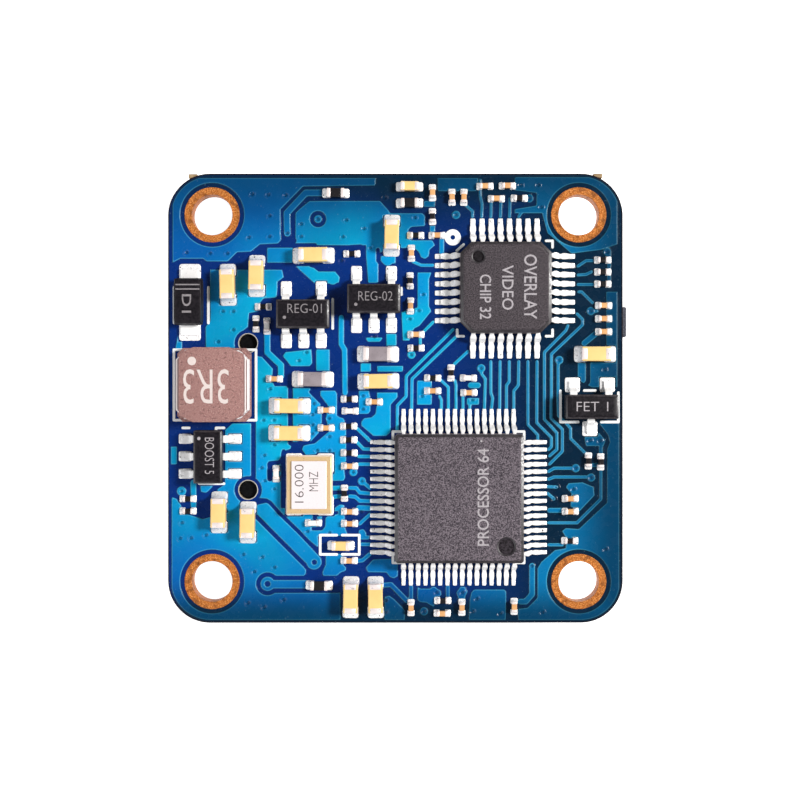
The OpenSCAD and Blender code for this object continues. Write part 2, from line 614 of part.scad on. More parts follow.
module switch_terminals() color("silver") on_bottom() for (s = [-1, 1]) {
    block(switch_x0 + 0.5, switch_x0 + 1.5, switch_y + s * (switch_half + 0.25) - 0.25,
        switch_y + s * (switch_half + 0.25) + 0.25, 0, 0.12);
    block(switch_x0 + 0.5, switch_x0 + 1.5, switch_y + s * (switch_half + 0.06) - 0.06,
        switch_y + s * (switch_half + 0.06) + 0.06, 0.12, 0.7);
}

// Button: nose out past the board's edge, flange behind the lip
module switch_button() color("slategray") on_bottom() {
    block(flange_x, flange_x + flange_t, switch_y - flange_half, switch_y + flange_half,
        0.2 + slip, switch_h - slip);
    block(flange_x, edge_x + button_out, switch_y - button_w / 2, switch_y + button_w / 2,
        0.2 + slip, switch_h - slip);
}

// ---- Status light, under the board ----

module at_led() on_bottom() translate(led_at) rotate([0, 0, 90]) children();
module status_led_base() color("white") at_led() slab(1.6 - 2 * end_wall, 0.8 - 2 * end_wall, end_wall, 0.3);
module status_led_lens() color("lightgreen") at_led() slab(1.0, 0.8 - 2 * end_wall, 0.3, 0.65);
module status_led_ends() color("silver") at_led() difference() {
    slab(1.6, 0.8, 0, 0.33);
    slab(1.0, 1, -1, 1);
    slab(1.6 - 2 * end_wall, 0.8 - 2 * end_wall, end_wall, 0.3);
}

// ---- Output ----

board_core();
copper_layers();
solder_mask_top();
solder_mask_bottom();
mounting_hole_rings();
via_barrels();
silkscreen_top();
silkscreen_bottom();
solder_pads_top();
solder_pads_bottom();
processor_body();
processor_leads();
video_chip_body();
video_chip_leads();
regulator_bodies();
regulator_leads();
boost_converter_body();
boost_converter_leads();
transistor_body();
transistor_leads();
diode_body();
diode_terminals();
inductor_core();
inductor_winding();
inductor_sleeve();
inductor_terminals();
crystal_base();
crystal_blank();
crystal_seal_ring();
crystal_lid();
large_capacitor_bodies();
large_capacitor_ends();
bead_bodies();
bead_ends();
medium_capacitor_bodies();
medium_capacitor_ends();
medium_resistor_bodies();
medium_resistor_ends();
small_capacitor_bodies();
small_capacitor_ends();
small_resistor_bodies();
small_resistor_ends();
small_inductor_bodies();
small_inductor_ends();
motion_sensor();
card_socket_base();
card_socket_shell();
card_socket_contacts();
wire_connector_housing();
wire_connector_pins();
wire_connector_tabs();
switch_base();
switch_cover();
switch_dome();
switch_terminals();
switch_button();
status_led_base();
status_led_lens();
status_led_ends();
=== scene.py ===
"""Looks of a small stack-mount flight controller board.

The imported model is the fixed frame. Each sub-assembly below is a class that makes its own surfaces in
millimetres, dresses them in a finish and lets them ride on the body they belong to.
"""

import logging
import math
from collections.abc import Sequence
from dataclasses import dataclass
from enum import Enum

import bpy
import numpy as np
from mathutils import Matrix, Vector
from mathutils.geometry import tessellate_polygon


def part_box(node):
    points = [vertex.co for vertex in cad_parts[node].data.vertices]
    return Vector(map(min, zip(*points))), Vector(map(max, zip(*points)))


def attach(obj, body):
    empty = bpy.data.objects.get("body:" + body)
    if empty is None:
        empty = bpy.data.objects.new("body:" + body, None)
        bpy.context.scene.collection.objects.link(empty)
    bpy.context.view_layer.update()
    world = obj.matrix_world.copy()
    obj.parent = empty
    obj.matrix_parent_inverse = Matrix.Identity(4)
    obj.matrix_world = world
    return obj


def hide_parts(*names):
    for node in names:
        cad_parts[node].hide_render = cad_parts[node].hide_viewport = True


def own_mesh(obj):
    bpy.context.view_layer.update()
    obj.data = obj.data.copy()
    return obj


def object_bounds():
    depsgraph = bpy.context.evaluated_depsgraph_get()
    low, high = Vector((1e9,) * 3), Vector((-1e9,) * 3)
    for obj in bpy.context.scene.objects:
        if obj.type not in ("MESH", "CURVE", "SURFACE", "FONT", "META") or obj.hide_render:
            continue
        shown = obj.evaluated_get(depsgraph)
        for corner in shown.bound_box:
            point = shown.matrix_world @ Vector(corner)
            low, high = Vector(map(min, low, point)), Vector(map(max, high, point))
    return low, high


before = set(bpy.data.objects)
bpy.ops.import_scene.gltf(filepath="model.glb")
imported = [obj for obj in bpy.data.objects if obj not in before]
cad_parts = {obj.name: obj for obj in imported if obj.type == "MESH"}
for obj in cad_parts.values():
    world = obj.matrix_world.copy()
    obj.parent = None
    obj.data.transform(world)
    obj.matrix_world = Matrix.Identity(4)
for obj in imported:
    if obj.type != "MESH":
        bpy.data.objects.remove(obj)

CAD_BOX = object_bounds()
LOG = logging.getLogger("flight_controller")
MM = 0.001
BOARD = "board"
SHARP_ANGLE = math.radians(40)
WELD_REACH = 1e-6
DIMPLE_DEPTH = 0.09
BEAD_AT = (0.0, 0.08, 0.16, 0.26, 0.4, 0.46, 0.52, 0.62, 0.75, 0.9, 1.0)
BEAD_WIDTH = (0.85, 1.05, 1.35, 1.38, 1.25, 0.9, 0.95, 1.3, 1.35, 1.2, 1.05)
Array = np.ndarray
Colour = tuple[float, float, float]
Point = tuple[float, float]


class Face(Enum):
    """The two faces of the board; the value is the way each one looks along Z."""

    TOP = 1
    UNDERSIDE = -1


# ---------------------------------------------------------------- surfaces


@dataclass(frozen=True)
class Shell:
    """A surface in millimetres: points, the faces' corner indices in a row, and each face's count."""

    points: Array
    corners: Array
    sizes: Array

    def moved(self, x: float = 0.0, y: float = 0.0, z: float = 0.0) -> "Shell":
        """Returns the surface shifted by (x, y, z)."""
        return Shell(self.points + np.array([x, y, z]), self.corners, self.sizes)

    def spread(self, spots: Array) -> "Shell":
        """Copies the surface to many spots.

        Args:
            spots: rows of x, y, z and a turn about Z in radians; p goes to R(turn) p + (x, y, z).

        Returns:
            One surface that holds all the copies.
        """
        spots = np.atleast_2d(np.asarray(spots, float))
        c, s = np.cos(spots[:, 3:4]), np.sin(spots[:, 3:4])
        x, y, z = self.points.T
        placed = np.stack([c * x - s * y + spots[:, 0:1], s * x + c * y + spots[:, 1:2],
                           z + spots[:, 2:3]], -1)
        shift = np.arange(len(spots))[:, None] * len(self.points)
        return Shell(placed.reshape(-1, 3), (self.corners[None] + shift).ravel(),
                     np.tile(self.sizes, len(spots)))

    def hung(self, height: float) -> "Shell":
        """Returns the surface mirrored in the plane z = height, its faces turned back outwards."""
        points = self.points * [1, 1, -1] + [0, 0, 2 * height]
        ends = np.cumsum(self.sizes)
        place = np.arange(len(self.corners))
        start = np.repeat(ends - self.sizes, self.sizes)
        last = np.repeat(ends, self.sizes) - 1
        return Shell(points, self.corners[start + last - place], self.sizes)

    def piece(self, name: str, finish: "Finish", slot: str, stands_for: Sequence[str] = (),
              sharp: float = 38.0, fields: dict[str, Array] | None = None) -> bpy.types.Object:
        """Makes the surface a dressed object that rides on the board.

        Args:
            name: the piece's name.
            finish: what it is made of.
            slot: the record's material slot; not used.
            stands_for: the CAD nodes it replaces.
            sharp: edges with a larger angle than this many degrees stay crisp.
            fields: named numbers at each point, for the material.

        Returns:
            The new object.
        """
        mesh = bpy.data.meshes.new(name)
        mesh.vertices.add(len(self.points))
        mesh.vertices.foreach_set("co", (self.points * MM).astype(np.float32).ravel())
        mesh.loops.add(len(self.corners))
        mesh.loops.foreach_set("vertex_index", self.corners.astype(np.int32))
        mesh.polygons.add(len(self.sizes))
        mesh.polygons.foreach_set("loop_start", (np.cumsum(self.sizes) - self.sizes).astype(np.int32))
        mesh.polygons.foreach_set("loop_total", self.sizes.astype(np.int32))
        for label, values in (fields or {}).items():
            mesh.attributes.new(label, "FLOAT", "POINT").data.foreach_set("value",
                                                                         values.astype(np.float32))
        mesh.update(calc_edges=True)
        mesh.validate()
        mesh.shade_smooth()
        mesh.set_sharp_from_angle(angle=math.radians(sharp))
        obj = bpy.data.objects.new(name, mesh)
        bpy.context.scene.collection.objects.link(obj)
        mesh.materials.append(finish.material())
        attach(obj, BOARD)
        if stands_for:
            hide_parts(*stands_for)
        LOG.info("%s: %d faces", obj.name, len(self.sizes))
        return obj


def joined(shells: Sequence[Shell]) -> Shell:
    """Returns several surfaces as one."""
    starts = np.cumsum([0] + [len(s.points) for s in shells[:-1]])
    return Shell(np.concatenate([s.points for s in shells]),
                 np.concatenate([s.corners + k for s, k in zip(shells, starts)]),
                 np.concatenate([s.sizes for s in shells]))


def loft(rings: Array) -> Shell:
    """Skin through closed rings.

    The grid's rows are the rings, its columns run round them, and one face fills each end ring.

    Args:
        rings: (k, n, 3) points; each ring runs anticlockwise as seen from the end that comes last.

    Returns:
        The closed surface.
    """
    k, n = rings.shape[:2]
    row, col = np.arange(k - 1)[:, None] * n, np.arange(n)[None]
    nxt = (col + 1) % n
    quads = np.stack(np.broadcast_arrays(row + col, row + nxt, row + n + nxt, row + n + col), -1)
    corners = np.concatenate([quads.ravel(), np.arange(n)[::-1], np.arange(n) + (k - 1) * n])
    return Shell(rings.reshape(-1, 3), corners, np.array([4] * (k - 1) * n + [n, n]))


def hoop(rings: Array) -> Shell:
    """Skin through closed rings, the last joined to the first; they rise on the outer side."""
    k, n = rings.shape[:2]
    row, col = np.arange(k)[:, None], np.arange(n)[None]
    a, b = row * n + col, row * n + (col + 1) % n
    up = (row + 1) % k * n
    quads = np.stack(np.broadcast_arrays(a, b, up + (col + 1) % n, up + col), -1)
    return Shell(rings.reshape(-1, 3), quads.ravel(), np.full(k * n, 4))


def revolved(profile: Array, steps: int = 64) -> Shell:
    """Turns a closed profile of (radius, height) rows about Z; it runs upwards on its outer side."""
    turn = np.linspace(0, 2 * np.pi, steps, endpoint=False)
    r, z = np.asarray(profile, float).T
    return hoop(np.stack([r[:, None] * np.cos(turn), r[:, None] * np.sin(turn),
                          np.broadcast_to(z[:, None], (len(r), steps))], -1))


def rounded_rings(w: Array, d: Array, r: Array, z: Array, n: int = 4, x: Array | float = 0.0,
                  y: Array | float = 0.0) -> Array:
    """Rounded rectangles, one for each row.

    Each corner is an arc of n points about (w/2 - r, d/2 - r) and its mirror images.

    Args:
        w: widths. d: depths. r: corner radii. z: heights. n: points in a corner's arc.
        x: middles across. y: middles along.

    Returns:
        (rows, 4 n, 3) points, anticlockwise from above.
    """
    w, d, r, z, x, y = (np.atleast_1d(np.asarray(v, float)) for v in (w, d, r, z, x, y))
    k = max(map(len, (w, d, r, z, x, y)))
    w, d, r, z, x, y = (np.broadcast_to(v, k)[:, None] for v in (w, d, r, z, x, y))
    r = np.minimum(r, np.minimum(w, d) / 2)
    turn = (np.arange(4)[:, None] * np.pi / 2 + np.linspace(0, np.pi / 2, n)[None]).ravel()
    sx, sy = np.repeat([1, -1, -1, 1], n), np.repeat([1, 1, -1, -1], n)
    px = x + sx * (w / 2 - r) + r * np.cos(turn)
    py = y + sy * (d / 2 - r) + r * np.sin(turn)
    return np.stack([px, py, np.broadcast_to(z, px.shape)], -1)


def soft_block(w: float, d: float, z0: float, z1: float, edge: float, corner: float = 0.0,
               steps: int = 3) -> Shell:
    """Block with rounded edges: its rings pull in along a quarter circle of radius edge."""
    a = np.linspace(0, np.pi / 2, steps + 1)
    pull = np.concatenate([edge * (1 - np.sin(a)), edge * (1 - np.cos(a))])
    z = np.concatenate([z0 + edge * (1 - np.cos(a)), z1 - edge + edge * np.sin(a)])
    r = np.maximum(max(corner, edge) - pull, 0.2 * edge)
    return loft(rounded_rings(w - 2 * pull, d - 2 * pull, r, z))


def bent_path(points: Sequence[Point], reach: float, steps: int = 4) -> Array:
    """Polyline whose corners are quadratic curves that start and end reach away from each corner."""
    p = np.asarray(points, float)
    rows = [p[:1]]
    t = np.linspace(0, 1, steps)[:, None]
    for before, at, after in zip(p[:-2], p[1:-1], p[2:]):
        a = at + (before - at) / np.linalg.norm(before - at) * reach
        b = at + (after - at) / np.linalg.norm(after - at) * reach
        rows.append((1 - t) ** 2 * a + 2 * t * (1 - t) * at + t ** 2 * b)
    return np.concatenate([*rows, p[-1:]])


def strip_along(path: Array, width: Array | float, thick: float, edge: float = 0.02) -> Shell:
    """Flat strip carried along a path in the X-Z plane.

    A rectangle with cut edges stands square to the path: Y runs across it, the normal through it.
    Its width may be one number or one for each point of the path.
    """
    ahead = np.gradient(path, axis=0)
    ahead /= np.linalg.norm(ahead, axis=1, keepdims=True)
    section = rounded_rings(width, thick, edge, np.zeros(len(path)), n=2)
    out = np.stack([-ahead[:, 1], ahead[:, 0]], -1)
    rings = np.empty(section.shape)
    rings[..., 0] = path[:, :1] + out[:, :1] * section[..., 1]
    rings[..., 1] = section[..., 0]
    rings[..., 2] = path[:, 1:] + out[:, 1:] * section[..., 1]
    return loft(rings)


def evenly(path: Array, count: int) -> Array:
    """Returns a polyline walked in equal strides, interpolated on the length so far."""
    along = np.append(0, np.cumsum(np.linalg.norm(np.diff(path, axis=0), axis=1)))
    at = np.linspace(0, along[-1], count)
    return np.column_stack([np.interp(at, along, column) for column in path.T])


# ---------------------------------------------------------------- reading the frame


def box_mm(node: str) -> tuple[Array, Array]:
    """Returns a CAD node's lowest and highest corners in millimetres."""
    lo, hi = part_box(node)
    return np.array(lo) / MM, np.array(hi) / MM


def solids(node: str) -> Array:
    """Boxes of the separate solids in a CAD node.

    Corners at one place are one corner, and each takes the lowest label among its triangles until
    nothing changes.

    Returns:
        (count, 2, 3) lowest and highest corners in millimetres.
    """
    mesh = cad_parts[node].data
    mesh.calc_loop_triangles()
    co = np.empty(len(mesh.vertices) * 3)
    mesh.vertices.foreach_get("co", co)
    tri = np.empty(len(mesh.loop_triangles) * 3, int)
    mesh.loop_triangles.foreach_get("vertices", tri)
    places, same = np.unique(np.round(co.reshape(-1, 3) / MM, 4), axis=0, return_inverse=True)
    tri = same.ravel()[tri].reshape(-1, 3)
    label = np.arange(len(places))
    while True:
        new = label.copy()
        np.minimum.at(new, tri.ravel(), np.repeat(label[tri].min(1), 3))
        new = new[new]
        if (new == label).all():
            break
        label = new
    names, group = np.unique(label, return_inverse=True)
    boxes = np.empty((len(names), 2, 3))
    boxes[:, 0], boxes[:, 1] = np.inf, -np.inf
    np.minimum.at(boxes[:, 0], group.ravel(), places)
    np.maximum.at(boxes[:, 1], group.ravel(), places)
    return boxes


def on_face(boxes: Array, face: Face) -> Array:
    """Returns the boxes that stand on one face of the board."""
    core = box_mm("board_core")
    middle = (core[0][2] + core[1][2]) / 2
    return boxes[(boxes.mean(1)[:, 2] - middle) * face.value > 0]


def standing(boxes: Array) -> Array:
    """Spots (x, y, 0, turn) of chip parts: turned a quarter where the long side is along Y."""
    side = boxes[:, 1] - boxes[:, 0]
    middle = boxes.mean(1)
    turn = np.where(side[:, 1] > side[:, 0], np.pi / 2, 0.0)
    return np.column_stack([middle[:, 0], middle[:, 1], np.zeros(len(boxes)), turn])


# ---------------------------------------------------------------- shader maths


class Val:
    """A shader socket; an expression on it adds the Math nodes that it needs."""

    def __init__(self, graph: "Graph", socket: bpy.types.NodeSocket) -> None:
        """Wraps a socket of a graph."""
        self.graph, self.socket = graph, socket

    def _do(self, op: str, a: "Val | float", b: "Val | float") -> "Val":
        """Returns a Math node's value."""
        return self.graph.one("ShaderNodeMath", {"operation": op}, {0: a, 1: b})

    def __add__(self, other: "Val | float") -> "Val":
        """Returns the sum."""
        return self._do("ADD", self, other)

    def __sub__(self, other: "Val | float") -> "Val":
        """Returns the difference."""
        return self._do("SUBTRACT", self, other)

    def __rsub__(self, other: float) -> "Val":
        """Returns the difference, turned round."""
        return self._do("SUBTRACT", other, self)

    def __mul__(self, other: "Val | float") -> "Val":
        """Returns the product."""
        return self._do("MULTIPLY", self, other)

    def most(self, other: "Val | float") -> "Val":
        """Returns the larger."""
        return self._do("MAXIMUM", self, other)

    def size(self) -> "Val":
        """Returns the value without its sign."""
        return self._do("ABSOLUTE", self, 0.0)

    def step(self, low: float, high: float, a: float = 0.0, b: float = 1.0) -> "Val":
        """Returns a smooth rise from a at low to b at high."""
        return self.graph.one("ShaderNodeMapRange", {"interpolation_type": "SMOOTHSTEP"},
                              {0: self, 1: low, 2: high, 3: a, 4: b})


class Graph:
    """The node tree of one material."""

    def __init__(self, name: str) -> None:
        """Starts an empty material."""
        self.material = bpy.data.materials.new(name)
        self.material.use_nodes = True
        self.tree = self.material.node_tree
        self.tree.nodes.clear()

    def node(self, kind: str, settings: dict | None = None,
             inputs: dict | None = None) -> bpy.types.Node:
        """Adds a node.

        Args:
            kind: the node's type.
            settings: its properties, set first.
            inputs: socket name or number to a number, colour, Val or socket.

        Returns:
            The node.
        """
        node = self.tree.nodes.new(kind)
        for key, value in (settings or {}).items():
            setattr(node, key, value)
        for key, value in (inputs or {}).items():
            socket = node.inputs[key]
            if isinstance(value, Val):
                value = value.socket
            if isinstance(value, bpy.types.NodeSocket):
                self.tree.links.new(value, socket)
            elif isinstance(value, tuple) and len(value) == 3 and socket.type == "RGBA":
                socket.default_value = (*value, 1.0)
            else:
                socket.default_value = value
        return node

    def one(self, kind: str, settings: dict | None = None, inputs: dict | None = None,
            out: int | str = 0) -> Val:
        """Adds a node and returns one of its outputs."""
        return Val(self, self.node(kind, settings, inputs).outputs[out])

    def place(self) -> Val:
        """Returns the object coordinates."""
        return self.one("ShaderNodeTexCoord", out="Object")

    def axis(self, which: int) -> Val:
        """Returns one object coordinate in millimetres."""
        return self.one("ShaderNodeSeparateXYZ", inputs={0: self.place()}, out=which) * (1 / MM)

    def field(self, name: str) -> Val:
        """Returns a number stored on the mesh."""
        return self.one("ShaderNodeAttribute", {"attribute_name": name}, out="Fac")

    def noise(self, grain: float, detail: float = 2.0, rough: float = 0.5) -> Val:
        """Returns cloudy noise whose grains are about that many millimetres."""
        return self.one("ShaderNodeTexNoise", None, {
            "Vector": self.place(), "Scale": 1 / (grain * MM), "Detail": detail, "Roughness": rough})

    def blend(self, a: "Colour | Val", b: "Colour | Val", share: Val) -> Val:
        """Returns colour a turning to b as share goes from 0 to 1."""
        node = self.node("ShaderNodeMix", {"data_type": "RGBA"}, {0: share, 6: a, 7: b})
        return Val(self, node.outputs[2])

    def relief(self, height: Val, depth: float, strength: float = 1.0) -> Val:
        """Returns the normal of a surface raised by height times depth millimetres."""
        return self.one("ShaderNodeBump", None, {"Height": height, "Distance": depth * MM,
                                                 "Strength": strength})

    def close(self, colour: "Colour | Val", rough: "float | Val", metal: float = 0.0,
              normal: Val | None = None, **constants: float | Colour) -> bpy.types.Material:
        """Ends the tree in a principled shader and returns the material."""
        inputs: dict = {"Base Color": colour, "Roughness": rough, "Metallic": metal}
        if normal:
            inputs["Normal"] = normal
        inputs.update({key.replace("_", " "): value for key, value in constants.items()})
        shader = self.node("ShaderNodeBsdfPrincipled", None, inputs)
        self.node("ShaderNodeOutputMaterial", None, {"Surface": shader.outputs[0]})
        return self.material


# ---------------------------------------------------------------- finishes


@dataclass(frozen=True)
class Finish:
    """Common ground of the finishes: a name, and a material that is made once."""

    name: str

    def material(self) -> bpy.types.Material:
        """Returns the material, made on its first use."""
        label = f"finish_{self.name}"
        return bpy.data.materials.get(label) or self.build(Graph(label))

    def build(self, g: Graph) -> bpy.types.Material:
        """Makes the material."""
        raise NotImplementedError


@dataclass(frozen=True)
class SolderMask(Finish):
    """Glossy mask: dark over bare laminate, light over copper, with dimpled vias.

    The mesh carries three fields in millimetres: copper, the depth inside it; via, the distance to the
    nearest via's middle; and border, the distance to the board's edge.
    """

    bare: Colour = (0.001, 0.023, 0.16)
    # The second bare tone, and the mid, sea and teal tones below, are painted shade towards the board's
    # right, top and bottom edges.
    bare_shaded: Colour = (0.0005, 0.014, 0.036)
    bright: Colour = (0.001, 0.27, 0.6)
    green: Colour = (0.001, 0.36, 0.58)
    mid: Colour = (0.001, 0.095, 0.35)
    sea: Colour = (0.001, 0.15, 0.35)
    teal: Colour = (0.0, 0.042, 0.105)
    # The pale cyan rim tone is partly the thinner mask over copper edges, partly painted highlight.
    rim: Colour = (0.16, 0.72, 0.92)
    # The next tone is painted shade in the via dimples.
    via_shade: Colour = (0.001, 0.02, 0.06)
    dusty: Colour = (0.5, 0.75, 0.85)
    cut: Colour = (0.012, 0.007, 0.006)

    def build(self, g: Graph) -> bpy.types.Material:
        """Colour follows the copper field and fades outwards in a painted pool of light, with a painted
        highlight along the copper's edges and painted shade in the via middles; copper and vias raise the
        surface.
        """
        copper, via, border = g.field("copper"), g.field("via"), g.field("border")
        x, y = g.axis(0), g.axis(1)
        # Painted pool of light: brightest a little left of the middle, falling into darker, tealer painted
        # shade towards the right, top and bottom edges.
        cloud = g.noise(2.2, 3.0) * 0.3 - 0.15
        side, rise = x + 2.6 - y * 0.35, y - 0.8
        light_pool_falloff = (side * side * 0.5 + rise * rise * 0.65).step(8.0, 105.0) + cloud
        top = y.step(7.5, 12.3) * x.step(-8.0, 3.0, 0.82, 1.0)
        bottom = y.step(-9.6, -12.0)
        shaded_edges = x.step(8.5, 12.0).most(top).most(bottom)
        light = g.blend(self.bright, self.green, g.noise(3.0, 1.0).step(0.35, 0.65))
        light = g.blend(light, self.mid, light_pool_falloff)
        light = g.blend(light, self.sea, x.step(1.5, 8.0))
        light = g.blend(light, self.teal, shaded_edges + cloud * 0.5)
        dark = g.blend(self.bare, self.bare_shaded, x.step(0.5, 10.5).most(shaded_edges) * 1.1 + cloud)
        colour = g.blend(dark, light, copper.step(-0.02, 0.02))
        # A pale cyan line along the copper's edges: partly the thinner mask there, partly painted
        # highlight.
        edge = (copper - 0.012).size().step(0.045, 0.0) * (1.0 - shaded_edges * 0.7)
        colour = g.blend(colour, self.rim, edge * 0.3)
        # Painted shade: each via's middle darkens where the mask dips into it.
        pit = via.step(0.12, 0.06)
        colour = g.blend(colour, self.via_shade, pit * 0.55)
        rim = (via - 0.17).size().step(0.06, 0.0)
        dust = g.noise(0.09, 1.0).step(0.74, 0.79)
        colour = g.blend(colour, self.dusty, dust * 0.1)
        colour = g.blend(self.cut, colour, border.step(0.02, 0.1))
        height = copper.step(-0.035, 0.035) + rim * 0.3 - pit * 0.9 + g.noise(0.35, 2.0) * 0.12
        rough = g.noise(0.5, 2.0).step(0.3, 0.7, 0.2, 0.32)
        return g.close(colour, rough, normal=g.relief(height, 0.055, 0.9), Specular_IOR_Level=0.2)


@dataclass(frozen=True)
class Moulding(Finish):
    """Moulded epoxy: fine filler grain with pale specks."""

    dark: Colour = (0.03, 0.027, 0.033)
    pale: Colour = (0.1, 0.09, 0.1)
    grain: float = 0.05
    rough: float = 0.5
    depth: float = 0.006
    specks: float = 0.5
    gloss: float = 0.14

    def build(self, g: Graph) -> bpy.types.Material:
        """Grain of two sizes mixes two tones and roughens the face; the palest grains are glassy."""
        grain, fine = g.noise(self.grain * 2.2, 2.0, 0.6), g.noise(self.grain, 2.0, 0.6)
        glint = fine.step(0.56, 0.68)
        colour = g.blend(self.dark, self.pale, grain.step(0.4, 0.62) * 0.6 + glint * self.specks)
        rough = grain.step(0.3, 0.7, self.rough - 0.08, self.rough + 0.14)
        normal = g.relief(grain + glint * 0.8, self.depth)
        return g.close(colour, rough, normal=normal, Specular_IOR_Level=self.gloss)


@dataclass(frozen=True)
class BrightMetal(Finish):
    """Tin, solder, steel or gold: a tone, dark patches in the hollows, and a slightly uneven skin; on tin
    and solder the patches and dark specks are partly dirt, partly painted dark reflections.
    """

    tone: Colour = (0.86, 0.85, 0.86)
    grime_and_dark_reflection: Colour = (0.25, 0.2, 0.2)
    grain: float = 0.12
    rough: float = 0.32
    metal: float = 0.75
    patches: float = 0.25
    depth: float = 0.012
    pits_and_dark_reflections: float = 0.0
    pit_and_reflection_tone: Colour = (0.03, 0.02, 0.022)

    def build(self, g: Graph) -> bpy.types.Material:
        """Cloudy dark patches and dark specks, partly dirt and partly painted dark reflections; uneven
        roughness and a soft bump.
        """
        cloud = g.noise(self.grain, 3.0, 0.6)
        grime_and_dark_reflection = cloud.step(0.6, 0.74) * self.patches
        colour = g.blend(self.tone, self.grime_and_dark_reflection, grime_and_dark_reflection)
        pits_and_dark_reflections = g.noise(self.grain * 0.7, 1.0, 0.4).step(0.7, 0.74) * self.pits_and_dark_reflections
        colour = g.blend(colour, self.pit_and_reflection_tone, pits_and_dark_reflections)
        rough = cloud.step(0.3, 0.7, self.rough - 0.08, self.rough + 0.1)
        return g.close(colour, rough, self.metal, g.relief(cloud - pits_and_dark_reflections, self.depth))


@dataclass(frozen=True)
class Ceramic(Finish):
    """Sintered ceramic: satin, with faint clouds and pores."""

    tone: Colour = (0.88, 0.62, 0.3)
    deep: Colour = (0.72, 0.45, 0.18)
    grain: float = 0.07
    rough: float = 0.38
    pores: float = 0.2

    def build(self, g: Graph) -> bpy.types.Material:
        """Two tones in clouds, dark pores, satin gloss."""
        cloud = g.noise(0.6, 2.0)
        pores = g.noise(self.grain, 2.0).step(0.6, 0.75)
        colour = g.blend(self.tone, self.deep, cloud.step(0.35, 0.75) * 0.4 + pores * self.pores)
        return g.close(colour, pores.step(0.0, 1.0, self.rough, self.rough + 0.2),
                       normal=g.relief(pores, 0.004), Specular_IOR_Level=0.35)


@dataclass(frozen=True)
class Ferrite(Finish):
    """Pressed ferrite: coarse speckle of pink and brown grains."""

    tone: Colour = (0.3, 0.15, 0.135)
    pale: Colour = (0.6, 0.4, 0.37)
    dark: Colour = (0.13, 0.06, 0.06)
    rough: float = 0.62

    def build(self, g: Graph) -> bpy.types.Material:
        """Two speckles of different grain over the base tone."""
        fine, coarse = g.noise(0.045, 3.0, 0.7), g.noise(0.13, 2.0, 0.6)
        colour = g.blend(self.tone, self.pale, fine.step(0.51, 0.64) * 0.85)
        colour = g.blend(colour, self.dark, coarse.step(0.53, 0.7) * 0.7)
        normal = g.relief(fine + coarse, 0.015)
        return g.close(colour, self.rough, normal=normal, Specular_IOR_Level=0.2)


@dataclass(frozen=True)
class RoughCopper(Finish):
    """Plated ring: orange metal with a coarse, mottled skin."""

    tone: Colour = (0.43, 0.12, 0.015)
    pale: Colour = (0.8, 0.34, 0.09)
    dark: Colour = (0.16, 0.045, 0.01)

    def build(self, g: Graph) -> bpy.types.Material:
        """Mottling in colour, roughness and height."""
        fine, coarse = g.noise(0.07, 3.0, 0.65), g.noise(0.28, 2.0)
        colour = g.blend(self.tone, self.pale, fine.step(0.46, 0.62) * 0.8)
        colour = g.blend(colour, self.dark, coarse.step(0.5, 0.68) * 0.65)
        return g.close(colour, fine.step(0.3, 0.7, 0.35, 0.55), 0.4, g.relief(fine + coarse, 0.06),
                       Specular_IOR_Level=0.3)


@dataclass(frozen=True)
class Laminate(Finish):
    """Woven glass laminate: layers show as thin lines on the cut edge, the weave as faint squares."""

    tone: Colour = (0.2, 0.12, 0.055)
    pale: Colour = (0.42, 0.3, 0.16)

    def build(self, g: Graph) -> bpy.types.Material:
        """A wave through the thickness and a finer one along each thread, broken by noise."""
        x, y, z = g.axis(0), g.axis(1), g.axis(2)
        layer = g.one("ShaderNodeMath", {"operation": "SINE"}, {0: z * 42.0 + g.noise(0.8) * 5.0})
        thread = g.one("ShaderNodeMath", {"operation": "SINE"}, {0: (x + y) * 14.0})
        share = layer.step(-0.6, 0.9) * 0.6 + thread.step(0.2, 1.0) * 0.2 + g.noise(0.1) * 0.3
        return g.close(g.blend(self.tone, self.pale, share), 0.7, normal=g.relief(share, 0.02))


@dataclass(frozen=True)
class Ink(Finish):
    """Printed or laser mark: flat tone with a ragged, thin coat."""

    tone: Colour = (0.9, 0.92, 0.92)
    thin: Colour = (0.62, 0.68, 0.72)
    rough: float = 0.55

    def build(self, g: Graph) -> bpy.types.Material:
        """Thin places show as a greyer tone."""
        wear = g.noise(0.06, 3.0, 0.6)
        return g.close(g.blend(self.tone, self.thin, wear.step(0.5, 0.72) * 0.6), self.rough,
                       normal=g.relief(wear, 0.01), Specular_IOR_Level=0.2)


@dataclass(frozen=True)
class Plastic(Finish):
    """Injection-moulded plastic with a spark-eroded skin."""

    tone: Colour = (0.02, 0.02, 0.022)
    pale: Colour = (0.05, 0.05, 0.055)
    rough: float = 0.42
    sheen_through: float = 0.0
    gloss: float = 0.3

    def build(self, g: Graph) -> bpy.types.Material:
        """Fine leathery grain in tone, gloss and height."""
        skin = g.noise(0.06, 2.0, 0.6)
        colour = g.blend(self.tone, self.pale, skin.step(0.35, 0.75))
        return g.close(colour, skin.step(0.3, 0.7, self.rough - 0.06, self.rough + 0.1),
                       normal=g.relief(skin, 0.006), Subsurface_Weight=self.sheen_through,
                       Specular_IOR_Level=self.gloss)


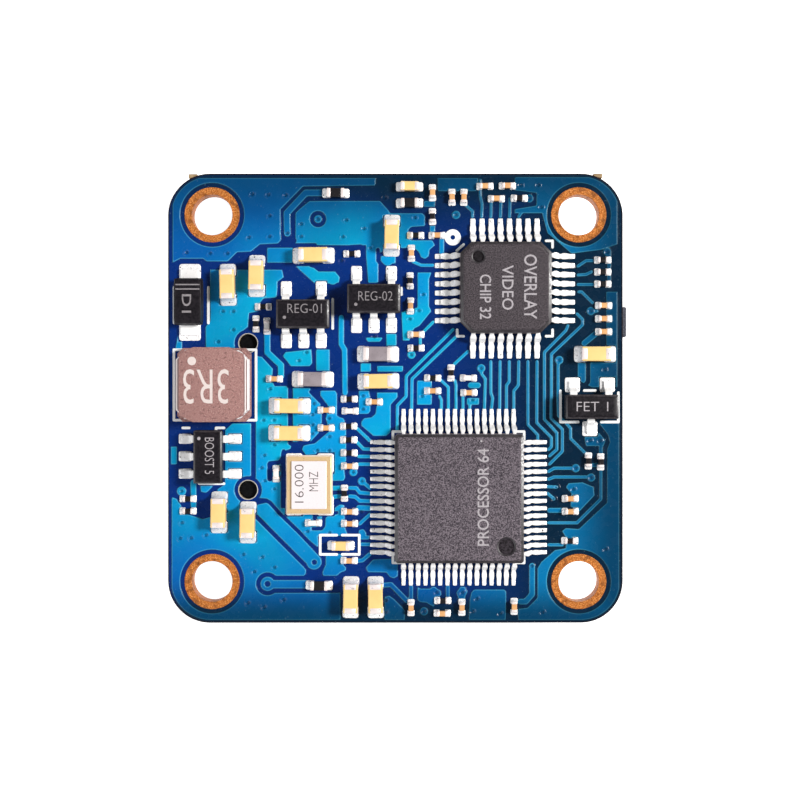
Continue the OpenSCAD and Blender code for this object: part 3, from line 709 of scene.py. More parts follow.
@dataclass(frozen=True)
class WoundCoat(Finish):
    """Pale resin over a winding: the turns show through as fine streaks."""

    tone: Colour = (0.9, 0.84, 0.83)
    shade: Colour = (0.34, 0.2, 0.19)
    pitch: float = 0.13

    def build(self, g: Graph) -> bpy.types.Material:
        """A wave across and one through the height, both bent a little by noise."""
        bend = g.noise(0.9) * 1.5
        turn = 2 * math.pi / self.pitch
        across = g.one("ShaderNodeMath", {"operation": "SINE"}, {0: g.axis(0) * turn + bend})
        rise = g.one("ShaderNodeMath", {"operation": "SINE"}, {0: g.axis(2) * turn + bend})
        wave = across * 0.6 + rise * 0.4
        colour = g.blend(self.shade, self.tone, wave.step(-0.75, 0.0))
        return g.close(colour, 0.45, normal=g.relief(wave, 0.02), Specular_IOR_Level=0.3)


@dataclass(frozen=True)
class Backdrop(Finish):
    """Pale paper lit from within, so that it stays even."""

    glow: float = 0.75

    def build(self, g: Graph) -> bpy.types.Material:
        """White with a little light of its own."""
        tone = g.blend((0.9, 0.9, 0.9), (0.86, 0.87, 0.88), g.noise(20.0).step(0.3, 0.7))
        return g.close(tone, 0.9, Emission_Color=(1.0, 1.0, 1.0), Emission_Strength=self.glow)


MASK = SolderMask("solder_mask_blue")
LAMINATE = Laminate("laminate_glass")
PALE_LIP = Laminate("laminate_pale_lip", tone=(0.3, 0.27, 0.22), pale=(0.6, 0.58, 0.52))
RING = RoughCopper("ring_copper")
COPPER = BrightMetal("copper_foil", tone=(0.8, 0.4, 0.2), rough=0.35, metal=1.0)
INK = Ink("ink_white")
LASER = Ink("laser_mark", tone=(0.42, 0.39, 0.41), thin=(0.12, 0.11, 0.12), rough=0.7)
LASER_FAINT = Ink("laser_mark_faint", tone=(0.26, 0.24, 0.25), thin=(0.08, 0.07, 0.08), rough=0.7)
LASER_DARK = Ink("laser_mark_dark", tone=(0.05, 0.04, 0.04), thin=(0.3, 0.26, 0.26), rough=0.7)
PAINT = Ink("paint_white", tone=(0.7, 0.61, 0.58), thin=(0.56, 0.46, 0.43))
# Solder and tin: a near-white, barely metallic tone that is partly painted highlight; their dark patches
# and specks are partly painted dark reflections.
SOLDER = BrightMetal("solder_bright", tone=(0.97, 0.96, 0.96), patches=0.3, grain=0.17, rough=0.3,
                     metal=0.2, depth=0.05, pits_and_dark_reflections=0.9)
TIN = BrightMetal("tin_lead", tone=(0.97, 0.96, 0.95), patches=0.25, grime_and_dark_reflection=(0.45, 0.38, 0.38),
                  rough=0.36, metal=0.12, depth=0.02, pits_and_dark_reflections=0.4)
END_CAP = BrightMetal("end_cap_tin", tone=(0.84, 0.75, 0.73), grime_and_dark_reflection=(0.4, 0.27, 0.26), patches=0.3,
                      rough=0.5, metal=0.25, grain=0.2, depth=0.02, pits_and_dark_reflections=0.35)
STEEL = BrightMetal("pressed_steel", tone=(0.7, 0.7, 0.71), rough=0.3, metal=1.0, grain=0.5,
                    patches=0.12)
GOLD = BrightMetal("gold_flash", tone=(0.9, 0.64, 0.34), grime_and_dark_reflection=(0.5, 0.3, 0.12), rough=0.35, metal=0.5)
LID = BrightMetal("crystal_lid_nickel", tone=(0.86, 0.79, 0.8), grime_and_dark_reflection=(0.62, 0.54, 0.55), rough=0.5,
                  metal=0.2, grain=0.08, patches=0.6, depth=0.012)
CHIP = Moulding("moulding_grey", dark=(0.028, 0.023, 0.03), pale=(0.24, 0.2, 0.23), grain=0.032,
                specks=0.75, depth=0.0025, gloss=0.3, rough=0.42)
CHIP_DARK = Moulding("moulding_dark_grey", dark=(0.022, 0.017, 0.021), pale=(0.12, 0.1, 0.112),
                     grain=0.03, depth=0.002, gloss=0.3, rough=0.42)
BLACK = Moulding("moulding_black", dark=(0.004, 0.003, 0.005), pale=(0.014, 0.01, 0.015), rough=0.42,
                 depth=0.0015, specks=0.3, gloss=0.25)
EDGE = Moulding("moulding_edge", dark=(0.02, 0.017, 0.02), pale=(0.05, 0.042, 0.048), rough=0.36,
                depth=0.0006, specks=0.3, gloss=0.55)
# Dimple floors: mouldings darker than the bodies, painted shade in the hollows.
DIMPLE_SHADE_GREY = Moulding("moulding_dimple_shade_grey", dark=(0.008, 0.006, 0.008), pale=(0.055, 0.045, 0.055),
                       rough=0.5, specks=0.3)
DIMPLE_SHADE = Moulding("moulding_dimple_shade", dark=(0.004, 0.003, 0.004), pale=(0.02, 0.016, 0.02), rough=0.5,
                  specks=0.2)
YELLOW = Ceramic("ceramic_yellow", tone=(0.86, 0.6, 0.235), deep=(0.8, 0.5, 0.17))
TAN = Ceramic("ceramic_tan", tone=(0.7, 0.38, 0.16), deep=(0.5, 0.22, 0.08))
WHITE = Ceramic("ceramic_white", tone=(0.85, 0.82, 0.8), deep=(0.7, 0.66, 0.64))
GREY = Ceramic("ceramic_grey", tone=(0.29, 0.25, 0.27), deep=(0.15, 0.12, 0.135), pores=0.8,
               rough=0.5)
GLAZE = Ceramic("resistor_glaze", tone=(0.012, 0.01, 0.012), deep=(0.004, 0.003, 0.004), rough=0.3)
TUB = Ceramic("crystal_tub", tone=(0.86, 0.74, 0.62), deep=(0.6, 0.42, 0.28), rough=0.5)
QUARTZ = Ceramic("quartz_plate", tone=(0.8, 0.88, 0.92), deep=(0.7, 0.8, 0.86), rough=0.15)
FERRITE = Ferrite("ferrite_pink")
COAT = WoundCoat("winding_coat")
SOCKET = Plastic("socket_black", tone=(0.002, 0.002, 0.0025), pale=(0.007, 0.007, 0.008), gloss=0.1)
IVORY = Plastic("connector_ivory", tone=(0.74, 0.66, 0.5), pale=(0.82, 0.75, 0.6), sheen_through=0.1)
SLATE = Plastic("button_slate", tone=(0.03, 0.035, 0.05), pale=(0.12, 0.13, 0.17), rough=0.5)
LENS = Plastic("led_lens", tone=(0.7, 0.82, 0.7), pale=(0.8, 0.9, 0.8), rough=0.2, sheen_through=0.4)
PAPER = Backdrop("backdrop_paper")


# ---------------------------------------------------------------- bare board


def smooth(a: Array, low: float, high: float) -> Array:
    """Returns a smooth rise from 0 at low to 1 at high: 3 t t - 2 t t t of the clipped share t."""
    t = np.clip((a - low) / (high - low), 0, 1)
    return t * t * (3 - 2 * t)


@dataclass(frozen=True)
class Stroke:
    """One stroke of the copper drawing: an outline to fill at width 0, else a line."""

    width: float
    points: Array

    @staticmethod
    def read(rows: str) -> "list[Stroke]":
        """Reads rows of a width and x,y pairs; a row that starts with a blank continues the last."""
        words = [row.split() for row in rows.strip().replace("\n ", " ").splitlines()]
        return [Stroke(float(width), np.array([pair.split(",") for pair in pairs], float))
                for width, *pairs in words]

    def depth(self, spots: Array) -> Array:
        """How deep each spot lies inside the stroke.

        It is the distance to the nearest segment, from its clipped foot point. A fill takes its sign
        from the number of sides that a ray crosses; a line subtracts it from half its width.
        """
        a = self.points if len(self.points) == 1 or self.width == 0 else self.points[:-1]
        b = np.roll(self.points, -1, 0) if self.width == 0 else self.points[-len(a):]
        ab, p = b - a, spots[:, None]
        share = ((p - a) * ab).sum(-1) / np.maximum((ab ** 2).sum(-1), 1e-12)
        gap = np.linalg.norm(p - a - np.clip(share, 0, 1)[..., None] * ab, axis=-1).min(1)
        if self.width:
            return self.width / 2 - gap
        rise = np.where(ab[:, 1] == 0, 1e-12, ab[:, 1])
        crossed = ((a[:, 1] > p[..., 1]) != (b[:, 1] > p[..., 1])) & (
            p[..., 0] < ab[:, 0] * (p[..., 1] - a[:, 1]) / rise + a[:, 0])
        return np.where(crossed.sum(1) % 2 == 1, gap, -gap)


@dataclass(frozen=True)
class CopperDrawing:
    """Copper under one mask: pours, gaps that cut them, traces, vias, dark dots, vias with a land."""

    pours: str
    gaps: str
    traces: str
    vias: str
    dots: str = ""
    lands: str = ""
    land_width: float = 0.44
    reach: float = 0.3

    def fields(self, x: Array, y: Array, pads: Array, holes: Array) -> tuple[Array, Array]:
        """Works out the two fields of the mask on a lattice.

        Args:
            x: the lattice's columns. y: its rows. pads: boxes of the pads on this face.
            holes: rows of x, y, radius that are kept free of copper.

        Returns:
            The depth inside copper, negative outside it, and the distance to the nearest via.
        """
        copper = np.full((len(y), len(x)), -self.reach)

        def lay(strokes: Sequence[Stroke], bare: bool) -> None:
            """Lays strokes: copper keeps the larger depth, a gap the smaller of its opposite."""
            for s in strokes:
                lo = s.points.min(0) - s.width / 2 - self.reach
                hi = s.points.max(0) + s.width / 2 + self.reach
                c = slice(*np.searchsorted(x, [lo[0], hi[0]]))
                r = slice(*np.searchsorted(y, [lo[1], hi[1]]))
                gx, gy = np.meshgrid(x[c], y[r])
                deep = s.depth(np.column_stack([gx.ravel(), gy.ravel()])).reshape(gx.shape)
                was = copper[r, c]
                copper[r, c] = np.minimum(was, -deep) if bare else np.maximum(was, deep)

        lay(Stroke.read(self.pours), False)
        lay(Stroke.read(self.gaps), True)
        pick = [[0, 0], [1, 0], [1, 1], [0, 1]]
        lay([Stroke(0.0, np.array([[box[i, 0], box[j, 1]] for i, j in pick])) for box in pads], True)
        lay(Stroke.read(self.traces), False)
        lands = [point for s in Stroke.read(f"0 {self.lands}") for point in s.points]
        lay([Stroke(self.land_width, point[None]) for point in lands], False)
        lay([Stroke(2 * r, np.array([[hx, hy]])) for hx, hy, r in holes], True)
        lay(Stroke.read(self.dots), True)
        via = np.full(copper.shape, 1.0)
        gx, gy = np.meshgrid(x, y)
        for vx, vy in lands + [point for s in Stroke.read(f"0 {self.vias}") for point in s.points]:
            via = np.minimum(via, np.hypot(gx - vx, gy - vy))
        return copper, via


@dataclass(frozen=True)
class MaskSheet:
    """Solder mask over one face: a fine lattice trimmed to the board, raised over copper."""

    name: str
    face: Face
    drawing: CopperDrawing
    pitch: float
    corner: float = 2.3
    ring_radius: float = 1.51
    ring_clear: float = 1.75
    pegs: tuple[Point, Point] = ((-8.04, 3.0), (-8.04, -5.0))
    peg_radius: float = 0.55
    peg_clear: float = 0.75
    margin: float = 0.16
    relief: float = 0.01
    via_dip: float = 0.006

    def build(self) -> None:
        """Trims, snaps, raises and closes the lattice, and dresses it."""
        side = "top" if self.face is Face.TOP else "bottom"
        lo, hi = box_mm(f"solder_mask_{side}")
        core = box_mm("board_core")
        thick = hi[2] - lo[2]
        middle, half = (lo + hi)[:2] / 2, (hi - lo)[:2] / 2
        nx, ny = np.round(2 * half / self.pitch).astype(int)
        x, y = np.linspace(lo[0], hi[0], nx + 1), np.linspace(lo[1], hi[1], ny + 1)
        rings = solids("mounting_hole_rings").mean(1)[:, :2]
        rows = [(*r, self.ring_radius) for r in rings] + [(*p, self.peg_radius) for p in self.pegs]
        holes = np.array(rows)
        clear = np.column_stack([holes[:, :2], [self.ring_clear] * len(rings) + [self.peg_clear] * 2])
        copper, via = self.drawing.fields(x, y, solids(f"solder_pads_{side}"), clear)

        def inside(px: Array, py: Array) -> Array:
            """Distance inside the rounded outline."""
            q = np.abs(np.stack([px - middle[0], py - middle[1]], -1)) - (half - self.corner)
            return self.corner - np.linalg.norm(np.maximum(q, 0), axis=-1) - np.minimum(q.max(-1), 0)

        gx, gy = np.meshgrid(x, y)
        copper = np.minimum(copper, inside(gx, gy) - self.margin)
        cx, cy = np.meshgrid((x[1:] + x[:-1]) / 2, (y[1:] + y[:-1]) / 2)
        keep = inside(cx, cy) > 0
        for hx, hy, r in holes:
            keep &= np.hypot(cx - hx, cy - hy) > r
        r, c = np.nonzero(keep)
        at = r * (nx + 1) + c
        cells = np.stack([at, at + 1, at + nx + 2, at + nx + 1], 1)
        used, cells = np.unique(cells, return_inverse=True)
        cells = cells.reshape(-1, 4)
        count = np.bincount(cells.ravel(), minlength=len(used))
        spots = np.column_stack([gx.ravel()[used], gy.ravel()[used]])
        edge = np.nonzero(count < 4)[0]
        spots[edge], contour = self.snapped(spots[edge], middle, half, holes)
        copper, via = copper.ravel()[used], via.ravel()[used]
        dip = smooth(via, 0.2, 0.08) * self.via_dip + (1 - smooth(copper, -0.09, 0.09)) * self.relief
        top = np.column_stack([spots, thick - dip])
        base = np.column_stack([spots[edge], np.zeros(len(edge))])
        below = np.full(len(used), -1)
        below[edge] = np.arange(len(edge)) + len(used)
        a, b = cells.ravel(), np.roll(cells, -1, 1).ravel()
        rim = ~np.isin(a * len(used) + b, b * len(used) + a)
        a, b = a[rim], b[rim]
        walls = np.stack([a, below[a], below[b], b], 1)
        floor = self.floor(base[:, :2], contour, middle, holes) + len(used)
        corners = np.concatenate([cells.ravel(), walls.ravel(), floor.ravel()])
        sizes = np.repeat([4, 3], [len(cells) + len(walls), len(floor)])
        shell = Shell(np.vstack([top, base]), corners, sizes)
        if self.face is Face.TOP:
            shell = shell.moved(z=core[1][2])
        else:
            shell = shell.hung(0).moved(z=core[0][2])
        border = inside(*spots.T)
        marks = {"copper": np.append(copper, copper[edge]), "via": np.append(via, via[edge]),
                 "border": np.append(border, border[edge])}
        shell.piece(self.name, MASK, "solder_mask", [f"solder_mask_{side}"], fields=marks)

    def snapped(self, p: Array, middle: Array, half: Array, holes: Array) -> tuple[Array, Array]:
        """Moves points to the nearest contour and says which: 0 is the outline, then the holes."""
        q = np.abs(p - middle)
        e = q - (half - self.corner)
        out = e * self.corner / np.maximum(np.linalg.norm(e, axis=1, keepdims=True), 1e-9)
        on_side = np.where((half - q).argmin(1)[:, None] == [0, 1], half, q)
        outline = np.where((e > 0).all(1)[:, None], half - self.corner + out, on_side)
        outline = middle + outline * np.sign(p - middle)
        arm = p[:, None] - holes[None, :, :2]
        arm *= holes[None, :, 2:] / np.linalg.norm(arm, axis=-1, keepdims=True)
        choices = np.concatenate([outline[:, None], holes[None, :, :2] + arm], 1)
        which = np.linalg.norm(choices - p[:, None], axis=-1).argmin(1)
        return choices[np.arange(len(p)), which], which

    def floor(self, p: Array, contour: Array, middle: Array, holes: Array) -> Array:
        """Triangles, looking down, that close the base between the outline and the holes."""
        centres = np.vstack([middle, holes[:, :2]])
        around = np.arctan2(*(p - centres[contour]).T[::-1])
        order = np.lexsort([around, contour])
        loops = np.split(order, np.nonzero(np.diff(contour[order]))[0] + 1)
        flat = [np.column_stack([p[k], np.zeros(len(k))]).tolist() for k in loops]
        tri = order[np.array(tessellate_polygon(flat))]
        u, v = p[tri[:, 1]] - p[tri[:, 0]], p[tri[:, 2]] - p[tri[:, 0]]
        up = u[:, 0] * v[:, 1] - u[:, 1] * v[:, 0] > 0
        return np.where(up[:, None], tri[:, ::-1], tri)


def lumps(boxes: Array, crown: float, trim: float = 0.05) -> Shell:
    """Solder on pads: one low rounded lump fitted to each box.

    A unit lump is five rounded rings that close in as they rise; every box stretches it to its own
    sides less that share trimmed off each, and its height to its own height plus the crown.
    """
    close = np.array([1.0, 1.0, 0.9, 0.68, 0.3])
    rise = np.array([0, 0.45, 0.8, 0.96, 1.0])
    unit = loft(rounded_rings(close, close, 0.12, rise, n=3, x=0.5, y=0.5))
    side = (boxes[:, 1] - boxes[:, 0]) * [1 - 2 * trim, 1 - 2 * trim, 1] + [0, 0, crown]
    low = boxes[:, 0] + (boxes[:, 1] - boxes[:, 0]) * [trim, trim, 0]
    points = low[:, None] + unit.points[None] * side[:, None]
    many = unit.spread(np.zeros((len(boxes), 4)))
    return Shell(points.reshape(-1, 3), many.corners, many.sizes)


@dataclass(frozen=True)
class BareBoard:
    """Laminate, masks, plated rings, vias, printed marks and the solder on the pads.

    A break-off stub is given by its width, depth, lowest and highest height.
    """

    stub: tuple[float, float, float, float] = (0.5, 0.24, 0.25, 1.0)
    stub_edge: float = 0.05
    stub_at: tuple[Point, Point] = ((-11.05, 12.12), (11.05, 12.14))
    ring_steps: int = 96

    def build(self, sheets: Sequence[MaskSheet]) -> None:
        """Builds everything that is not a mounted part."""
        carried("board_core", LAMINATE)
        carried("copper_layers", COPPER)
        carried("via_barrels", COPPER)
        carried("silkscreen_top", INK)
        carried("silkscreen_bottom", INK)
        for sheet in sheets:
            sheet.build()
        self.rings()
        self.peg_rims(sheets[0])
        self.solder()
        stub = soft_block(*self.stub, self.stub_edge)
        stubs = joined([stub.moved(x, y) for x, y in self.stub_at])
        stubs.piece("break_off_stubs", LAMINATE, "laminate")

    def rings(self) -> None:
        """Plated stack holes: a barrel with a flange on each face, raised at its two lips."""
        low, high = box_mm("mounting_hole_rings")
        t, u = high[2], low[2]
        profile = [(1.10, u + 0.03), (1.13, u), (1.46, u), (1.5, u + 0.02), (1.5, 0), (1.15, 0),
                   (1.15, t - 0.05), (1.5, t - 0.05), (1.51, t - 0.01), (1.495, t + 0.015),
                   (1.46, t + 0.02), (1.42, t), (1.3, t - 0.006), (1.19, t), (1.15, t + 0.018),
                   (1.115, t + 0.01), (1.10, t - 0.03)]
        spots = np.pad(solids("mounting_hole_rings").mean(1)[:, :2], [(0, 0), (0, 2)])
        revolved(profile, self.ring_steps).spread(spots).piece(
            "plated_stack_rings", RING, "plating", ["mounting_hole_rings"])

    def peg_rims(self, sheet: MaskSheet) -> None:
        """Thin pale lips of laminate round the two peg holes."""
        profile = [(0.5, 0.9), (0.545, 0.9), (0.55, 1.04), (0.535, 1.058), (0.51, 1.055), (0.5, 1.03)]
        spots = np.pad(np.array(sheet.pegs), [(0, 0), (0, 2)])
        revolved(profile, 40).spread(spots).piece("peg_hole_lips", PALE_LIP, "laminate")

    def solder(self) -> None:
        """Solder on all the pads of both faces."""
        pads, low = solids("solder_pads_top"), solids("solder_pads_bottom")
        lumps(pads, 0.03).piece("solder_top", SOLDER, "solder", ["solder_pads_top"])
        lumps(low, 0.02).hung(low.mean(1)[:, 2].mean()).piece(
            "solder_underside", SOLDER, "solder", ["solder_pads_bottom"])


def carried(node: str, finish: Finish, edge: float = 0.0) -> None:
    """Dresses a CAD node and, where an edge is given in millimetres, rounds its edges by it."""
    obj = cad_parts[node]
    if not obj.material_slots:
        obj.data.materials.append(finish.material())
    for place in obj.material_slots:
        place.material = finish.material()
    if edge:
        weld = obj.modifiers.new("weld", "WELD")
        weld.merge_threshold = WELD_REACH
        bevel = obj.modifiers.new("bevel", "BEVEL")
        bevel.width, bevel.segments = edge * MM, 2
        bevel.limit_method, bevel.angle_limit = "ANGLE", SHARP_ANGLE
    LOG.info("%s: carried over in %s", node, finish.name)


# ---------------------------------------------------------------- lettering


@dataclass(frozen=True)
class Mark:
    """A word, fitted to a length along its reading direction and a height across it."""

    text: str
    x: float
    y: float
    length: float
    height: float
    turn: float = 0.0
    weight: float = 0.008

    def shell(self, z: float, face: Face = Face.TOP) -> Shell:
        """Thin letters that stand on height z.

        Their box is scaled to length by height, centred, turned about Z and set down; on the underside
        they are turned over about Y first.
        """
        curve = bpy.data.curves.new(self.text, "FONT")
        curve.body, curve.extrude, curve.resolution_u, curve.offset = self.text, 0.5, 3, self.weight
        holder = bpy.data.objects.new(self.text, curve)
        mesh = bpy.data.meshes.new_from_object(holder)
        points = np.empty(len(mesh.vertices) * 3)
        mesh.vertices.foreach_get("co", points)
        points = points.reshape(-1, 3)
        corners = np.empty(len(mesh.loops), int)
        mesh.loops.foreach_get("vertex_index", corners)
        sizes = np.empty(len(mesh.polygons), int)
        mesh.polygons.foreach_get("loop_total", sizes)
        bpy.data.objects.remove(holder)
        bpy.data.curves.remove(curve)
        bpy.data.meshes.remove(mesh)
        lo, hi = points.min(0), points.max(0)
        points = (points - (lo + hi) / 2) / (hi - lo) * [self.length, self.height, 0.006]
        if face is Face.UNDERSIDE:
            points = points * [-1, 1, -1]
        spot = [[self.x, self.y, z + 0.002 * face.value, math.radians(self.turn)]]
        return Shell(points, corners, sizes).spread(spot)


def dot(x: float, y: float, radius: float, z: float) -> Shell:
    """A thin round spot that stands on height z: a shallow stack of circles."""
    turn = np.linspace(0, 2 * np.pi, 32, endpoint=False)
    r, h = np.array([1.0, 1.0, 0.94])[:, None] * radius, np.array([-0.002, 0.004, 0.006])[:, None]
    flat = np.broadcast_arrays(x + r * np.cos(turn), y + r * np.sin(turn), z + h)
    return loft(np.stack(flat, -1))


# ---------------------------------------------------------------- moulded chips with leads


def moulded_block(w: float, d: float, levels: Sequence[tuple[float, float]], cut: float,
                  dimples: Sequence[tuple[float, float, float]] = (), cells: int = 12) -> Shell:
    """Moulded body: a lattice on top whose outline is carried down the sides.

    The lattice's corners are cut at 45 degrees by moving each point beyond the cut back along the
    diagonal. Each level below is the lattice's outline, pulled in by its inset.

    Args:
        w: width. d: depth. levels: inset and height, from the bottom to the top's edge.
        cut: length of the corner cuts along a side.
        dimples: x, y and radius of round hollows in the top. cells: cells along a side.

    Returns:
        The closed body, centred on X and Y.
    """
    t = np.linspace(-1, 1, cells + 1)
    u, v = (a.ravel() for a in np.meshgrid(t, t))
    inset, high = levels[-1]
    px, py = u * (w / 2 - inset), v * (d / 2 - inset)
    over = np.maximum(np.abs(px) + np.abs(py) - (w / 2 + d / 2 - 2 * inset - cut), 0) / 2
    px, py = px - np.sign(px) * over, py - np.sign(py) * over
    pz = np.full(px.shape, high)
    for dx, dy, r in dimples:
        pz -= DIMPLE_DEPTH * smooth(np.hypot(px - dx, py - dy), r, r * 0.9)
    n = cells + 1
    grid = np.arange(n * n).reshape(n, n)
    quads = np.stack([grid[:-1, :-1], grid[:-1, 1:], grid[1:, 1:], grid[1:, :-1]], -1).reshape(-1, 4)
    loop = np.concatenate([grid[0, :-1], grid[:-1, -1], grid[-1, :0:-1], grid[:0:-1, 0]])
    rows, inner = [np.column_stack([px, py, pz])], np.column_stack([px, py])[loop]
    size = np.array([w / 2 - inset, d / 2 - inset])
    ids = [loop]
    for i, z in levels[-2::-1]:
        ring = inner * (np.array([w / 2 - i, d / 2 - i]) / size)
        ids.append(np.arange(len(loop)) + sum(map(len, rows)))
        rows.append(np.column_stack([ring, np.full(len(loop), z)]))
    walls = [np.stack([low, np.roll(low, -1), np.roll(up, -1), up], 1)
             for up, low in zip(ids, ids[1:])]
    corners = np.concatenate([quads.ravel(), *(q.ravel() for q in walls), ids[-1][::-1]])
    sizes = np.append(np.full(len(quads) + sum(map(len, walls)), 4), len(loop))
    return Shell(np.vstack(rows), corners, sizes)


@dataclass(frozen=True)
class LeadedChip:
    """A moulded package, or several alike, with bent leads, sized and placed by its CAD nodes.

    Draft is how far the sides lean in, and the bevel starts at a share of it. The parting band is twice
    parting high; above it the body is smaller by mould_step. Crown is the eased edge round the top, lip
    the flat rim round a dimple. A lead starts at root inside the body; shoulder_end and heel are shares
    of its run, and bend is how far from a corner it starts to turn.
    """

    name: str
    bodies: str
    finish: Finish
    slot: str
    cut: float
    lead_thick: float
    draft: float = 0.1
    round_edge: float = 0.05
    dimples: tuple[tuple[float, float, float], ...] = ()
    cells: int = 12
    marks: tuple[Mark, ...] = ()
    dots: tuple[tuple[float, float, float], ...] = ()
    ink: Finish = LASER
    beaded: bool = False
    dimple_shade_finish: Finish = DIMPLE_SHADE
    parting: float = 0.03
    mould_step: float = 0.025
    crown: float = 0.012
    bevel_slope: float = 0.32
    bevel_start: float = 0.3
    lip: float = 0.16
    root: float = 0.15
    shoulder_end: float = 0.2
    heel: float = 0.42
    bend: float = 0.09

    def build(self) -> None:
        """Builds bodies, leads and marks."""
        bodies = solids(self.bodies)
        lo, hi = bodies[0]
        w, d = (hi - lo)[:2]
        middle = bodies.mean(1)
        spots = np.column_stack([middle[:, :2], np.zeros((len(bodies), 2))])
        body = self.body(w, d, lo[2], hi[2]).spread(spots)
        if self.dimples:
            body = joined([body, self.cups(hi[2]).moved(*middle[0, :2])])
        body.piece(self.name, self.finish, self.slot, [self.bodies])
        self.lead_rows(bodies)
        if self.marks or self.dots:
            signs = [m.shell(hi[2]) for m in self.marks] + [dot(*s, hi[2]) for s in self.dots]
            joined(signs).piece(f"{self.name}_marks", self.ink, "ink")
        # Each dimple gets a darker floor disc: painted shade in the hollow.
        if self.dimples:
            shade_floors = [dot(x, y, 0.84 * r, hi[2] - DIMPLE_DEPTH).moved(*middle[0, :2])
                      for x, y, r in self.dimples]
            joined(shade_floors).piece(f"{self.name}_dimple_shade_floor", self.dimple_shade_finish, self.slot)
        self.polish(w, d, hi[2]).spread(spots).piece(f"{self.name}_polish", EDGE, self.slot)

    def body(self, w: float, d: float, z0: float, z1: float) -> Shell:
        """Body with drafted sides, a parting line half way up and a rounded top edge."""
        part, e, f = (z0 + z1) / 2, self.round_edge, self.draft
        levels = [(f + e, z0), (f, z0 + e), (0.0, part - self.parting), (0.0, part + self.parting),
                  (self.mould_step, part + self.parting + 0.005),
                  (self.bevel_start * f, z1 - self.bevel_slope * f - self.crown),
                  (f, z1 - self.crown), (f + 0.5 * e, z1)]
        hollows = [(x, y, r + 0.07) for x, y, r in self.dimples]
        return moulded_block(w, d, levels, self.cut, hollows, self.cells)

    def cups(self, top: float) -> Shell:
        """Sloping walls of the dimples, each with a flat lip that lies on the body's top."""
        low = top - DIMPLE_DEPTH
        return joined([revolved([(0.8 * r, low - 0.01), (r + self.lip, low - 0.01),
                                 (r + self.lip, top + 0.002), (r, top + 0.003)], 48).moved(x, y)
                       for x, y, r in self.dimples])

    def polish(self, w: float, d: float, top: float) -> Shell:
        """Glossy skins: one on the bevel round the top, one on the rounded wall of each dimple.

        The band's four rings are the bevel's lower and upper edge, each set off by t to either side;
        a wall is a quarter circle, and back a little behind itself.
        """
        f, t = self.draft, 0.003
        start, fall = self.bevel_start * f, self.bevel_slope * f
        inset = np.array([start - t, f - t, f + t, start + t])
        high = top - self.crown + np.array([t - fall, t, -t, -t - fall])
        band = hoop(rounded_rings(w - 2 * inset, d - 2 * inset, self.cut - 0.6 * inset, high, n=2))
        turn = np.linspace(0, np.pi / 2, 6)
        walls = []
        for x, y, r in self.dimples:
            out = r + 0.02 - 0.1 * np.sin(turn)
            low = top + 0.005 - 0.06 * (1 - np.cos(turn))
            back = np.column_stack([out + 0.02, low - 0.02])[::-1]
            walls.append(revolved(np.vstack([np.column_stack([out, low]), back]), 48).moved(x, y))
        return joined([band, *walls])

    def lead_rows(self, bodies: Array) -> None:
        """Leads: one strip along a path that leaves the body flat, drops and stands on its foot."""
        node = f"{self.name}_leads"
        leads = solids(node)
        apart = leads.mean(1)[:, None, :2] - bodies.mean(1)[None, :, :2]
        own = bodies[np.linalg.norm(apart, axis=-1).argmin(1)]
        centre, half = own.mean(1)[:, :2], (own[:, 1] - own[:, 0])[:, :2] / 2
        off = leads.mean(1)[:, :2] - centre
        along = (np.abs(off) - half).argmax(1)
        sign = np.sign(off[np.arange(len(off)), along])
        turn = np.where(along == 0, (1 - sign) * np.pi / 2, sign * np.pi / 2)
        x = np.where(along == 0, centre[:, 0], leads.mean(1)[:, 0])
        y = np.where(along == 1, centre[:, 1], leads.mean(1)[:, 1])
        first, t = leads[0], self.lead_thick
        start = half[0, along[0]]
        end = np.abs(first[:, along[0]] - centre[0, along[0]]).max()
        width = (first[1] - first[0])[1 - along[0]]
        foot, shoulder = first[0][2] + t / 2, first[1][2] - t / 2
        run = end - start
        path = bent_path([(start - self.root, shoulder), (start + self.shoulder_end * run, shoulder),
                          (start + self.heel * run, foot), (end, foot)], self.bend)
        if self.beaded:
            path = evenly(path, 17)
            width = width * np.interp((path[:, 0] - start) / run, BEAD_AT, BEAD_WIDTH)
        spots = np.column_stack([x, y, np.zeros(len(x)), turn])
        strip_along(path, width, t).spread(spots).piece(node, TIN, "lead_metal", [node], sharp=30.0)


# ---------------------------------------------------------------- chip parts


